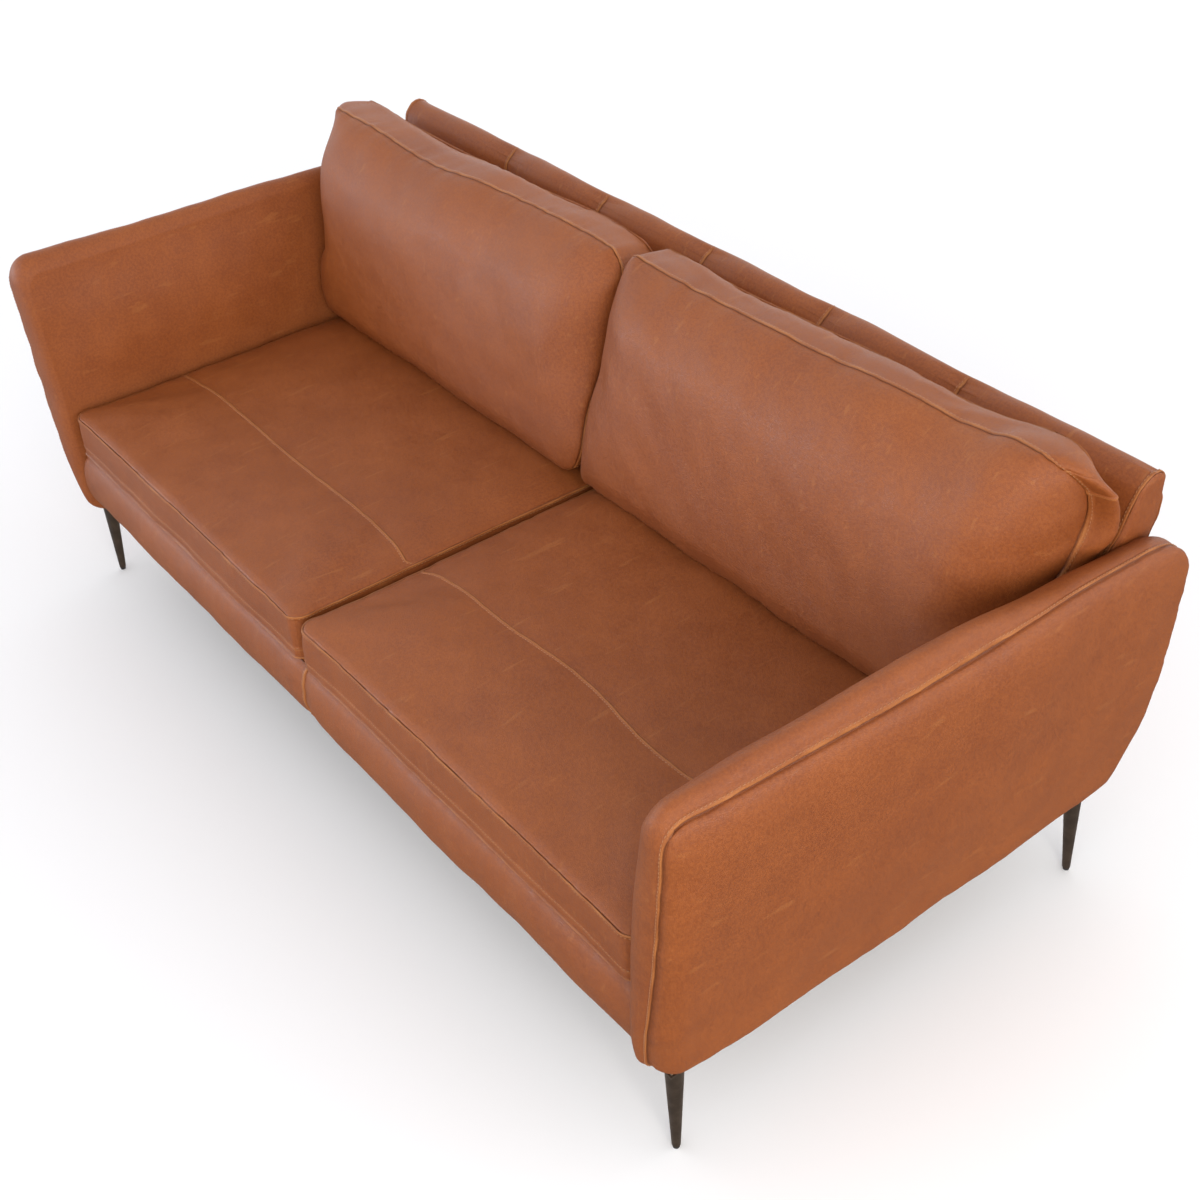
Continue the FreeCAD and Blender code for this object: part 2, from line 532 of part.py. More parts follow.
def make_seat_cushions():
    """Leather cover with a zip in its rear band, over a foam core wrapped in wadding."""
    slot, room, strip, pull = placed_zip(SEAT_ZIP_X, SEAT_Y[1], SEAT_ZIP_Z, ZERO)
    filling = rounded_box(LEATHER, SEAT_ROUND - LEATHER)
    core = rounded_box(LEATHER + SEAT_WRAP, SEAT_ROUND - LEATHER)
    add_pair("seat_cushion_cover", rounded_box(ZERO, SEAT_ROUND).cut(filling).cut(slot))
    add_pair("seat_cushion_wadding", filling.cut(core).cut(room))
    add_pair("seat_cushion_foam", core)
    add_pair("seat_cushion_zip", strip)
    add_pair("seat_cushion_zip_pull", pull)


def wedge(inset, radius):
    """The right back cushion's volume, drawn in by inset, with its edges along X rounded."""
    y0, z0 = CUSHION_FRONT[0]
    (y1, z1), (y2, z2) = CUSHION_FRONT[-1], CUSHION_CROWN[0]
    y3, z3 = CUSHION_CROWN[1]
    rear = -BACK_GAP - inset
    low = z0 + inset
    ring = [(y0 + 1.2 * inset, low)] + [(y + inset, z - 0.5 * inset) for y, z in CUSHION_FRONT[1:-1]]
    ring += [
        (y1 + 0.4 * inset, z1 - inset), (y2, z2 - inset), (y3 - inset, z3 - inset),
        (back_face(CUSHION_REAR_TOP_Z) + rear, CUSHION_REAR_TOP_Z), (back_face(low) + rear, low),
    ]
    block = yz_prism(ring, (0, SPAN))
    along_x = [e for e in block.Edges if abs(e.tangentAt(e.FirstParameter).x) > 0.9]
    block = block.makeFillet(radius, along_x)
    y, inner = -SPAN / 2, CUSHION_PLAN[0][0] + inset
    outer = [(w - inset, y, z) for z, w in CUSHION_ENDS]
    sides = [
        curve(outer),
        line(outer[-1], (inner, y, outer[-1][2])),
        line((inner, y, outer[-1][2]), (inner, y, outer[0][2])),
        line((inner, y, outer[0][2]), outer[0]),
    ]
    corners = [Vec(x, y, 0) for x, y in CUSHION_PLAN]
    plan = Part.Face(Part.makePolygon(corners + corners[:1]))
    plan = plan.makeOffset2D(-inset) if inset else plan
    return block.common(extruded(sides, (0, SPAN, 0))).common(plan.extrude(Vec(0, 0, SPAN)))


def make_back_cushions():
    """Leather cover with a zip low in its rear panel, over a quilted fibre insert."""
    lean = math.degrees(math.atan(BACK_RAKE))
    slot, room, strip, pull = placed_zip(BACK_ZIP_X, back_face(BACK_ZIP_Z) - BACK_GAP, BACK_ZIP_Z, lean)
    filling = wedge(LEATHER, CUSHION_ROUND - LEATHER)
    add_pair("back_cushion_cover", wedge(ZERO, CUSHION_ROUND).cut(filling).cut(slot))
    add_pair("back_cushion_insert", filling.cut(room))
    add_pair("back_cushion_zip", strip)
    add_pair("back_cushion_zip_pull", pull)


# ---------------------------------------------------------------- the whole sofa
def main():
    make_legs()
    make_arms()
    make_seat_frame()
    make_suspension()
    make_border()
    make_back()
    make_seat_cushions()
    make_back_cushions()
    os.makedirs("parts", exist_ok=True)
    for name, solids in sorted(parts.items()):
        shape = solids[0] if len(solids) == 1 else Part.makeCompound(solids)
        shape.exportStep("parts/%s.step" % name)
        volume = sum(s.Volume for s in solids)
        sound = all(s.isValid() and s.isClosed() for s in solids)
        print("%-30s %3d solids %12.0f mm3 %s" % (name, len(solids), volume, "" if sound else "NOT SOUND"))
    print(len(parts), "nodes")


main()
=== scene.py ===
# %% [markdown]
# # A leather sofa, built around its frame
# This script dresses a sofa. Its wooden frame, springs, legs and fixings come ready made as a fixed frame;
# here the leather is cut, padded, sewn and lit. Read it from the top: each note says what a piece
# is on a real sofa, how it could be made in Blender, and why it is made this way. All sizes are in metres,
# X runs along the sofa, Y from its front to its back and Z up.

# %% Load the frame
import math

import bpy
import numpy as np
from mathutils import Matrix, Vector


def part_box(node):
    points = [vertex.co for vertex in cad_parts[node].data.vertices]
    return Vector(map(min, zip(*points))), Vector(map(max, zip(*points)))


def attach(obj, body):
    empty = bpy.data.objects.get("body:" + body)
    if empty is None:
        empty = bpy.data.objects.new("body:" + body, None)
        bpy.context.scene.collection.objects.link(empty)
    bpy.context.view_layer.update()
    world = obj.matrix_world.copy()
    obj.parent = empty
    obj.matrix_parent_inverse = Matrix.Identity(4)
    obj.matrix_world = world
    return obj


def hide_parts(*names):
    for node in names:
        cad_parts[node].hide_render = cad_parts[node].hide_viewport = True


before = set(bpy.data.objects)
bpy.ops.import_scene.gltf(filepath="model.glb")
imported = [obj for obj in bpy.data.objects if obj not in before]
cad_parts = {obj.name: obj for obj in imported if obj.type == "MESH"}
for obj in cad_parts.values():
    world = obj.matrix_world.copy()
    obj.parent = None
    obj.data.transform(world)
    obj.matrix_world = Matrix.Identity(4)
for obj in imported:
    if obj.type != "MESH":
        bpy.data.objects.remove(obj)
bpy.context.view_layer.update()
SIDES = (("left", -1), ("right", 1))


def corners(node_name, mirrored=False):
    """The lowest and highest corner of one of the frame's parts, or of its mirror image in X."""
    low, high = (np.array(corner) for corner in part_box(node_name))
    if mirrored:
        low[0], high[0] = -high[0], -low[0]
    return low, high


# %% [markdown]
# ## Smooth surfaces from a few points
# Every leather panel starts as a coarse grid of points. To sew a fine seam into it the grid has to be much
# closer there, so a panel is read again through a smooth curve at whatever places are wanted. The curve is
# linear in its points, so reading it is one matrix product, which numpy does for a whole panel at once.

# %% Reading a curve between its points
def spline_weights(count, places):
    """Each row holds the weights that read a curve through `count` even points at one place.

    Between two neighbours the curve is the cubic through them whose slope at each is half the step between
    the points on either side; past the ends the last step is repeated.
    """
    places = np.asarray(places, float)
    start = np.clip(np.floor(places).astype(int), 0, count - 2)
    t = places - start
    cubics = (
        -0.5 * t + t**2 - 0.5 * t**3,
        1 - 2.5 * t**2 + 1.5 * t**3,
        0.5 * t + 2 * t**2 - 1.5 * t**3,
        -0.5 * t**2 + 0.5 * t**3,
    )
    weights = np.zeros((len(places), count + 2))
    rows = np.arange(len(places))
    for step, cubic in enumerate(cubics):
        weights[rows, start + step] += cubic
    weights[:, 1] += 2 * weights[:, 0]
    weights[:, 2] -= weights[:, 0]
    weights[:, -2] += 2 * weights[:, -1]
    weights[:, -3] -= weights[:, -1]
    return weights[:, 1:-1]


def smooth(x):
    """0 below 0, 1 above 1 and an S-shaped ramp between: three x squared less two x cubed."""
    x = np.clip(x, 0, 1)
    return x * x * (3 - 2 * x)


def bump(x, width):
    """A hill of height 1 at x = 0 that falls off as a bell: e to the minus (x / width) squared."""
    return np.exp(-((x / width) ** 2))


# %% [markdown]
# ## A block's skin as one grid
# Cushions and arms are all blocks with six padded sides. If the skin is one grid that closes on itself,
# nothing has to be stitched together afterwards: a place on it is three whole numbers, and the skin holds
# each place with at least one number at an end of its range.

# %% The skin of a block
class Skin:
    """The closed skin of a block of na x nb x nc cells: its places, and its sides as grids of row numbers."""

    def __init__(self, cells):
        self.cells = cells
        grid = np.indices([n + 1 for n in cells])
        last = np.array(cells).reshape(3, 1, 1, 1)
        outside = ((grid == 0) | (grid == last)).any(axis=0)
        self.places = grid[:, outside].T
        self.row = np.full(outside.shape, -1)
        self.row[outside] = np.arange(len(self.places))

    def sides(self):
        """The six sides, each with the two axes that it runs along and whether its faces are to be turned."""
        row = self.row
        return (
            (row[:, :, 0], 0, 1, True),
            (row[:, :, -1], 0, 1, False),
            (row[:, 0, :], 0, 2, False),
            (row[:, -1, :], 0, 2, True),
            (row[0, :, :], 1, 2, True),
            (row[-1, :, :], 1, 2, False),
        )

    def faces(self, turned=False):
        """Four-sided faces that point outwards, or inwards if the block was mirrored."""
        quads = []
        for rows, _, _, turn in self.sides():
            ring = (rows[:-1, :-1], rows[1:, :-1], rows[1:, 1:], rows[:-1, 1:])
            quad = np.stack(ring, axis=-1).reshape(-1, 4)
            quads.append(quad[:, ::-1] if turn != turned else quad)
        return np.concatenate(quads)

    def read_at(self, points, places):
        """Reads the skin again at finer places along each axis. Gives the finer skin and its points."""
        fine = Skin([len(p) - 1 for p in places])
        weights = [spline_weights(n + 1, p) for n, p in zip(self.cells, places)]
        result = np.zeros((len(fine.places), 3))
        for (rows, a, b, _), (fine_rows, _, _, _) in zip(self.sides(), fine.sides()):
            result[fine_rows] = np.einsum("ai,bj,ijk->abk", weights[a], weights[b], points[rows])
        return fine, result


print("a block of 4 x 3 x 2 cells has", len(Skin((4, 3, 2)).places), "places on its skin")


# %% [markdown]
# ## Points into meshes
# `foreach_set` hands Blender a whole array of numbers at once, which is many times faster than setting
# points one by one. A painted value for each point, such as how much painted shade darkens the leather
# there, goes in the same way as a named attribute that the material can read.

# %% Making a mesh from arrays
def make_piece(name, points, faces, material, painted=None):
    """A smooth-shaded object from points and four-sided faces, with painted values by name."""
    mesh = bpy.data.meshes.new(name)
    mesh.vertices.add(len(points))
    mesh.vertices.foreach_set("co", np.asarray(points, np.float32).ravel())
    mesh.loops.add(faces.size)
    mesh.loops.foreach_set("vertex_index", faces.ravel().astype(np.int32))
    mesh.polygons.add(len(faces))
    mesh.polygons.foreach_set("loop_start", np.arange(0, faces.size, faces.shape[1], dtype=np.int32))
    mesh.update(calc_edges=True)
    mesh.shade_smooth()
    for key, values in (painted or {}).items():
        layer = mesh.attributes.new(key, "FLOAT", "POINT")
        layer.data.foreach_set("value", np.asarray(values, np.float32))
    mesh.materials.append(material)
    piece = bpy.data.objects.new(name, mesh)
    bpy.context.scene.collection.objects.link(piece)
    return piece


def point_normals(points, faces):
    """Unit normals at the points: the sum of the cross products of the diagonals of the faces around each."""
    around = points[faces]
    cross = np.cross(around[:, 2] - around[:, 0], around[:, 3] - around[:, 1])
    total = np.zeros_like(points)
    for k in range(faces.shape[1]):
        np.add.at(total, faces[:, k], cross)
    return total / np.maximum(np.linalg.norm(total, axis=1, keepdims=True), 1e-12)


# %% [markdown]
# ## Leather
# The hide is a waxed cognac leather. Close up it has a fine pebbled grain; from further away its colour
# drifts between honey and chestnut and pales where it is stretched over a seam. Painted shade darkens it
# in the grooves of seams and low on the back cushions. Grain and drift are patterns in space, so they need
# no unwrapping. Both are node groups, so the leather itself reads as a few named steps, and another hide
# would need only other colours.

# %% Node helpers
def new_group(name, inputs, outputs):
    """An empty shader node group with named float or colour sockets. Returns the tree and its two ends."""
    group = bpy.data.node_groups.new(name, "ShaderNodeTree")
    for label, kind, value in inputs:
        socket = group.interface.new_socket(label, in_out="INPUT", socket_type="NodeSocket" + kind)
        if value is not None:
            socket.default_value = value
    for label, kind in outputs:
        group.interface.new_socket(label, in_out="OUTPUT", socket_type="NodeSocket" + kind)
    return group, group.nodes.new("NodeGroupInput"), group.nodes.new("NodeGroupOutput")


def node(tree, kind, links=None, **settings):
    """A node with its settings and inputs. An input is a value or another node's socket."""
    made = tree.nodes.new("ShaderNode" + kind)
    for key, value in settings.items():
        setattr(made, key, value)
    for key, value in (links or {}).items():
        if isinstance(value, bpy.types.NodeSocket):
            tree.links.new(value, made.inputs[key])
        else:
            made.inputs[key].default_value = value
    return made


def math_node(tree, operation, *values):
    """One sum, and its result's socket."""
    return node(tree, "Math", dict(enumerate(values)), operation=operation).outputs[0]


def mixed(tree, amount, a, b):
    """Colour a, turned towards colour b by amount."""
    mix = tree.nodes.new("ShaderNodeMix")
    mix.data_type = "RGBA"
    for socket, value in zip((mix.inputs[0], mix.inputs[6], mix.inputs[7]), (amount, a, b)):
        if isinstance(value, bpy.types.NodeSocket):
            tree.links.new(value, socket)
        else:
            socket.default_value = value
    return mix.outputs[2]


def ramp(tree, value, low, high, to_low=0.0, to_high=1.0):
    """Stretches a value from low..high to to_low..to_high, with an S-shaped ramp that stops at both ends."""
    links = {"Value": value, "From Min": low, "From Max": high, "To Min": to_low, "To Max": to_high}
    return node(tree, "MapRange", links, interpolation_type="SMOOTHSTEP").outputs["Result"]


def place_group(tree, group, **inputs):
    """Puts a node group into a material; names of inputs are written with _ for a space."""
    made = tree.nodes.new("ShaderNodeGroup")
    made.node_tree = group
    for key, value in inputs.items():
        socket = made.inputs[key.replace("_", " ")]
        if isinstance(value, bpy.types.NodeSocket):
            tree.links.new(value, socket)
        else:
            socket.default_value = value
    return made.outputs


def begin(name, turn=(0, 0, 0)):
    """A new material with its tree, its shader and the object's own coordinates, turned if wanted."""
    material = bpy.data.materials.new(name)
    material.use_nodes = True
    tree = material.node_tree
    place = node(tree, "TexCoord").outputs["Object"]
    if any(turn):
        place = node(tree, "Mapping", {"Vector": place, "Rotation": turn}).outputs[0]
    return material, tree, tree.nodes["Principled BSDF"], place


def relief(tree, shader, height, distance, strength=0.5):
    """Lets a height, `distance` metres from its lowest to its highest, tilt the surface's shading."""
    bumped = node(tree, "Bump", {"Height": height, "Distance": distance, "Strength": strength})
    tree.links.new(bumped.outputs["Normal"], shader.inputs["Normal"])


# %% The grain: small pebbles with fine valleys between
def build_grain():
    """Pebbled grain: how far a place is from its cell's edge in a bent Voronoi pattern, and soft noise."""
    group, given, result = new_group(
        "leather_grain",
        [("Vector", "Vector", None), ("Pebbles per metre", "Float", 480.0)],
        [("Height", "Float"), ("Valleys", "Float")],
    )
    place, scale = given.outputs["Vector"], given.outputs["Pebbles per metre"]
    drift = node(group, "TexNoise", {"Vector": place, "Scale": 90.0, "Detail": 2.0})
    shift = node(group, "VectorMath", {0: drift.outputs["Color"], 1: (0.5, 0.5, 0.5)}, operation="SUBTRACT")
    shift = node(group, "VectorMath", {0: shift.outputs[0], "Scale": 0.004}, operation="SCALE")
    warped = node(group, "VectorMath", {0: place, 1: shift.outputs[0]}, operation="ADD").outputs[0]
    pebble = node(group, "TexVoronoi", {"Vector": warped, "Scale": scale}, feature="DISTANCE_TO_EDGE")
    valley = ramp(group, pebble.outputs["Distance"], 0.0, 0.22, 0.0, 1.0)
    broad = math_node(group, "MULTIPLY", scale, 0.22)
    soft = node(group, "TexNoise", {"Vector": warped, "Scale": broad, "Detail": 3.0})
    height = math_node(group, "MULTIPLY_ADD", soft.outputs["Fac"], 0.8, valley)
    group.links.new(height, result.inputs["Height"])
    group.links.new(math_node(group, "SUBTRACT", 1.0, valley), result.inputs["Valleys"])
    return group


grain_group = build_grain()


# %% The hide's colour: broad drift, small clouds, scuffs, worn places and painted shade
def build_hide():
    """The hide's colour at a place: noise of three sizes mixes deep with pale, wear and long scuffs turn it
    towards rubbed, and painted shade and the grain's valleys turn it towards dark brown."""
    group, given, result = new_group(
        "hide_colour",
        [
            ("Vector", "Vector", None),
            ("Pale", "Color", (0.5, 0.2, 0.07, 1)),
            ("Deep", "Color", (0.25, 0.08, 0.03, 1)),
            ("Rubbed", "Color", (0.6, 0.28, 0.11, 1)),
            ("Worn", "Float", 0.0),
            ("PaintedShade", "Float", 0.0),
            ("Valleys", "Float", 0.0),
        ],
        [("Color", "Color"), ("Clouds", "Float")],
    )
    place = given.outputs["Vector"]
    broad = node(group, "TexNoise", {"Vector": place, "Scale": 2.6, "Detail": 3.0, "Roughness": 0.55})
    cloud = node(group, "TexNoise", {"Vector": place, "Scale": 14.0, "Detail": 5.0, "Roughness": 0.6})
    speck = node(group, "TexNoise", {"Vector": place, "Scale": 210.0, "Detail": 3.0})
    amount = math_node(group, "MULTIPLY", ramp(group, cloud.outputs["Fac"], 0.3, 0.7), 0.30)
    amount = math_node(group, "MULTIPLY_ADD", ramp(group, broad.outputs["Fac"], 0.3, 0.7), 0.28, amount)
    amount = math_node(group, "MULTIPLY_ADD", ramp(group, speck.outputs["Fac"], 0.36, 0.64), 0.42, amount)
    hide = mixed(group, amount, given.outputs["Deep"], given.outputs["Pale"])
    patchy = math_node(group, "MULTIPLY_ADD", cloud.outputs["Fac"], 0.9, 0.55)
    worn = math_node(group, "MULTIPLY", given.outputs["Worn"], patchy)
    drawn = node(group, "Mapping", {"Vector": place, "Rotation": (0.3, 0.5, 0.9), "Scale": (1, 0.12, 0.5)})
    scuff = node(group, "TexNoise", {"Vector": drawn.outputs[0], "Scale": 95.0, "Detail": 3.0})
    scuffed = math_node(group, "MULTIPLY", ramp(group, scuff.outputs["Fac"], 0.62, 0.74), 0.30)
    worn = math_node(group, "MAXIMUM", worn, scuffed)
    hide = mixed(group, worn, hide, given.outputs["Rubbed"])
    # Painted shade from the mesh, and the grain's valleys, darken the hide towards dark brown.
    dark = math_node(group, "MULTIPLY_ADD", given.outputs["Valleys"], 0.16, given.outputs["PaintedShade"])
    hide = mixed(group, dark, hide, (0.07, 0.018, 0.006, 1))
    group.links.new(hide, result.inputs["Color"])
    group.links.new(amount, result.inputs["Clouds"])
    return group


hide_group = build_hide()


# %% The leather itself
def make_leather(name, pale, deep, rubbed):
    """Leather that reads two painted values from its mesh: worn pales it, and painted shade darkens it."""
    material, tree, shader, place = begin(name)
    # The painted shade: darkening in the grooves of seams and low on the back cushions.
    worn = node(tree, "Attribute", attribute_name="worn").outputs["Fac"]
    painted_shade = node(tree, "Attribute", attribute_name="painted_shade").outputs["Fac"]
    grain = place_group(tree, grain_group, Vector=place)
    colours = {"Pale": (*pale, 1), "Deep": (*deep, 1), "Rubbed": (*rubbed, 1)}
    masks = {"Worn": worn, "PaintedShade": painted_shade, "Valleys": grain["Valleys"]}
    hide = place_group(tree, hide_group, Vector=place, **colours, **masks)
    tree.links.new(hide["Color"], shader.inputs["Base Color"])
    rough = ramp(tree, hide["Clouds"], 0.2, 0.8, 0.40, 0.50)
    rough = math_node(tree, "MULTIPLY_ADD", grain["Valleys"], 0.12, rough)
    tree.links.new(rough, shader.inputs["Roughness"])
    relief(tree, shader, grain["Height"], 0.0005)
    shader.inputs["Specular IOR Level"].default_value = 0.34
    return material


cognac = make_leather("cognac_leather", (0.352, 0.098, 0.020), (0.240, 0.059, 0.012), (0.45, 0.163, 0.043))
print("leather made with", len(cognac.node_tree.nodes), "nodes")


# %% [markdown]
# ## Padding: letting the leather swell
# A cushion gets its form from what is stuffed into it. Blender's cloth can do the same: the cover starts as
# a slightly smaller shape, air pressure inside pushes it out, and the leather finds its own crown and small
# puckers. Seams are shortened a little, as a sewn edge is. How far a point may move is capped, so that no
# cushion grows into its neighbour, and the result is read back as plain points, with no cloth left on it.

# %% Cloth under pressure
def relaxed(values, faces, passes):
    """Evens out a value at each point: every pass takes it halfway to the mean of its neighbours."""
    here, beside = faces.ravel(), np.roll(faces, -1, axis=1).ravel()
    count = np.bincount(here, minlength=len(values))[:, None]
    for _ in range(passes):
        total = np.stack([np.bincount(here, values[beside, k], len(values)) for k in range(3)], 1)
        values = (values + total / count) / 2
    return values


def swell(name, points, faces, held, gathered, cap, pressure=4.0, last_frame=20):
    """The points after the cover has been inflated. `held` is 1 where the cover can't move, `gathered` is 1
    where a seam shortens it, and no point moves further than `cap`: a move m becomes m / (1 + m / cap)."""
    piece = make_piece(name + "_swelling", points, faces, cognac)
    for label, weights in (("held", held), ("gathered", gathered)):
        group = piece.vertex_groups.new(name=label)
        for weight in np.unique(weights[weights > 0]):
            group.add(np.flatnonzero(weights == weight).tolist(), float(weight), "REPLACE")
    cloth = piece.modifiers.new("cloth", "CLOTH").settings
    cloth.quality = 5
    cloth.mass = 0.35
    cloth.tension_stiffness = cloth.compression_stiffness = 25
    cloth.shear_stiffness = 10
    cloth.bending_stiffness = 1.2
    cloth.use_pressure = True
    cloth.uniform_pressure_force = pressure
    cloth.vertex_group_mass = "held"
    cloth.vertex_group_shrink = "gathered"
    cloth.shrink_min = 0.0
    cloth.shrink_max = 0.03
    cloth.effector_weights.gravity = 0
    scene = bpy.context.scene
    for step in range(1, last_frame + 1):
        scene.frame_set(step)
    swollen = piece.evaluated_get(bpy.context.evaluated_depsgraph_get()).to_mesh()
    result = np.zeros(len(points) * 3, np.float32)
    swollen.vertices.foreach_get("co", result)
    moved = relaxed(result.reshape(-1, 3) - points, faces, 3)
    length = np.linalg.norm(moved, axis=1, keepdims=True)
    scene.frame_set(1)
    bpy.data.objects.remove(piece)
    print(name, "swelled by up to %.1f mm before the cap" % (1000 * length.max()))
    return points + moved / (1 + length / cap)


# %% [markdown]
# ## The seat cushions
# A seat cushion is a foam block in a leather box: a top and a bottom panel joined by a band. The top panel
# is crowned, and a cross seam divides it about a quarter of a metre from its front edge. A cube with a
# Bevel and a Subdivision Surface would be round in the same way everywhere, and its seams would be drawn on.
# Here the box comes from a formula, so its edges lie exactly where the seams are to be sewn.

# %% The box of a cushion, before it swells
def rounded(s, t, half_u, half_v, radius):
    """Moves places of the square -1..1 so that its corners are round, and gives them in metres.

    In each corner the small square of side `radius` is bent to a quarter disc: a becomes a times the
    root of 1 less half of b squared, and b likewise.
    """
    u, v = half_u * s, half_v * t
    a = np.clip((np.abs(u) - half_u + radius) / radius, 0, 1)
    b = np.clip((np.abs(v) - half_v + radius) / radius, 0, 1)
    du = radius * (a * np.sqrt(1 - b * b / 2) - a)
    dv = radius * (b * np.sqrt(1 - a * a / 2) - b)
    return u + np.sign(u) * du, v + np.sign(v) * dv


def crown(s, t, power=4.0):
    """1 in the middle of a panel, falling to 0 at its edges: the root of (1 - s^p)(1 - t^p)."""
    return np.sqrt(np.clip((1 - np.abs(s) ** power) * (1 - np.abs(t) ** power), 0, 1))


# %% Where the finer grid has its lines
MM = 0.001
SEAM_LINES = np.array([0, 0.8, 1.6, 2.6, 3.8, 5.2, 6.2, 7.2, 9, 11.5, 15, 20]) * MM


def close_lines(cells, length, extra=(), step=0.0065):
    """Places along an axis of `cells` cells and `length` metres: close together near both its ends, and
    near each of the `extra` distances, and about `step` apart between."""
    lines = [SEAM_LINES, length - SEAM_LINES]
    for at in extra:
        lines += [at + SEAM_LINES[:-2], at - SEAM_LINES[1:-2]]
    lines = np.unique(np.concatenate(lines).round(6))
    lines = lines[(lines >= 0) & (lines <= length)]
    filled = [lines[:1]]
    for a, b in zip(lines[:-1], lines[1:]):
        count = max(1, round((b - a) / step))
        filled.append(a + (b - a) * np.arange(1, count + 1) / count)
    return np.concatenate(filled) / length * cells


# %% [markdown]
# ## A lapped seam
# Where two panels meet, the edge of the band is folded, laid over the other panel and stitched down about
# five millimetres from the fold. So along every seam there is a raised, pale lip on one side and, right
# beside it, a step down to the other panel, darkened with painted shade. The leather also gathers a little
# on the thread, in small ripples that die out within a few centimetres. A bump map could suggest all this,
# but a seam is seen edge on wherever a cushion turns away, so it is made in the surface, as a height that
# depends on the distance.

# %% The height of a seam, in metres, at a distance from it
LIP = 7.6 * MM               # from the fold to where the lip has died away
STITCH_LINE = 5.2 * MM       # from the fold to the thread


def lip_height(d):
    """The lapped side: a flat lip with a round fold, pressed in along the thread."""
    lip = smooth((d + 0.6 * MM) / (1.8 * MM)) * (1 - smooth((d - STITCH_LINE) / (LIP - STITCH_LINE)))
    return 1.7 * MM * lip - 0.4 * MM * bump(d - STITCH_LINE, 1.0 * MM)


def under_height(d):
    """The side that goes under: it dives down beside the fold."""
    return -1.5 * MM * (1 - smooth(d / (3.4 * MM))) - 0.5 * MM * bump(d, 9 * MM)


def ripples(along, away, rng, height=0.9 * MM, reach=22 * MM, count=9):
    """Small gathers: sines of random length along the seam, falling off as e to the minus (away / reach)."""
    total = np.zeros_like(along)
    for wave in rng.uniform(18 * MM, 95 * MM, count):
        total += np.sin(2 * np.pi * along / wave + rng.uniform(0, 2 * np.pi)) * rng.uniform(0.4, 1.0)
    return height * total / np.sqrt(count) * np.exp(-away / reach)


def swells(points, rng, height, size, count=7):
    """Broad, soft unevenness: a sum of plane waves of about the given size in random directions."""
    total = np.zeros(len(points))
    for _ in range(count):
        way = rng.normal(size=3)
        way *= 2 * np.pi / (size * rng.uniform(0.7, 1.6) * np.linalg.norm(way))
        total += np.sin(points @ way + rng.uniform(0, 2 * np.pi))
    return height * total / np.sqrt(count)


# %% [markdown]
# ## Stitches
# Each stitch is a short, fat thread that rises out of the leather and dips back in. One is shaped as a
# little barrel with bent ends; then hundreds are placed along a seam with array sums, two points of the
# seam giving each its direction and the leather's normal telling it which way is up. An Array modifier on
# a curve could do it too, but it knows nothing of the leather's normal, so stitches would sink or float.

# %% Sewing along a line
def stitch_shape(length=4.6 * MM, radius=0.5 * MM, sides=6, rings=5):
    """A barrel along X: its rings have radius r * sqrt(1 - x^2), and an arch lifts it out of the leather."""
    x = np.linspace(-0.93, 0.93, rings)
    angle = 2 * np.pi * np.arange(sides) / sides
    thick = radius * np.sqrt(1 - x**2)
    lift = 0.45 * MM - 0.75 * MM * x**2
    across = thick[:, None] * np.cos(angle)
    up = lift[:, None] + thick[:, None] * np.sin(angle)
    along = np.repeat((x * length / 2)[:, None], sides, 1)
    points = np.stack([along, across, up], -1).reshape(-1, 3)
    k = np.arange(sides)
    belt = np.stack([k, k + sides, (k + 1) % sides + sides, (k + 1) % sides], 1)
    faces = [belt + sides * ring for ring in range(rings - 1)]
    caps = np.array([[0, 1, 2, 3], [3, 4, 5, 0]])
    faces += [caps, caps[:, ::-1] + sides * (rings - 1)]
    return points, np.concatenate(faces)


def along_line(line, step):
    """Distances along a line of points: of stitches that are `step` apart, and of the points themselves."""
    gone = np.concatenate([[0], np.cumsum(np.linalg.norm(np.diff(line, axis=0), axis=1))])
    at = np.arange(0.5 * step, gone[-1] - 0.4 * step, step)
    return at, gone


def sew(line, normals, step=6.6 * MM, slant=0.14):
    """The points and faces of a row of stitches along a line whose leather has these normals."""
    at, gone = along_line(line, step)
    here, ahead, up = (
        np.stack([np.interp(p, gone, data[:, k]) for k in range(3)], 1)
        for p, data in ((at, line), (at + 0.4 * MM, line), (at, normals))
    )
    way = ahead - here
    way /= np.linalg.norm(way, axis=1, keepdims=True)
    side = np.cross(up, way)
    side /= np.linalg.norm(side, axis=1, keepdims=True)
    up = np.cross(way, side)
    way, side = way + slant * side, side - slant * way
    shape, faces = stitch_shape()
    axes = enumerate((way, side, up))
    points = here[:, None] + sum(shape[None, :, k, None] * axis[:, None] for k, axis in axes)
    faces = faces[None] + (np.arange(len(at)) * len(shape))[:, None, None]
    return points.reshape(-1, 3), faces.reshape(-1, 4)


def joined(parts):
    """Several (points, faces) pairs as one."""
    starts = np.cumsum([0] + [len(p) for p, _ in parts[:-1]])
    return np.concatenate([p for p, _ in parts]), np.concatenate([f + s for (_, f), s in zip(parts, starts)])


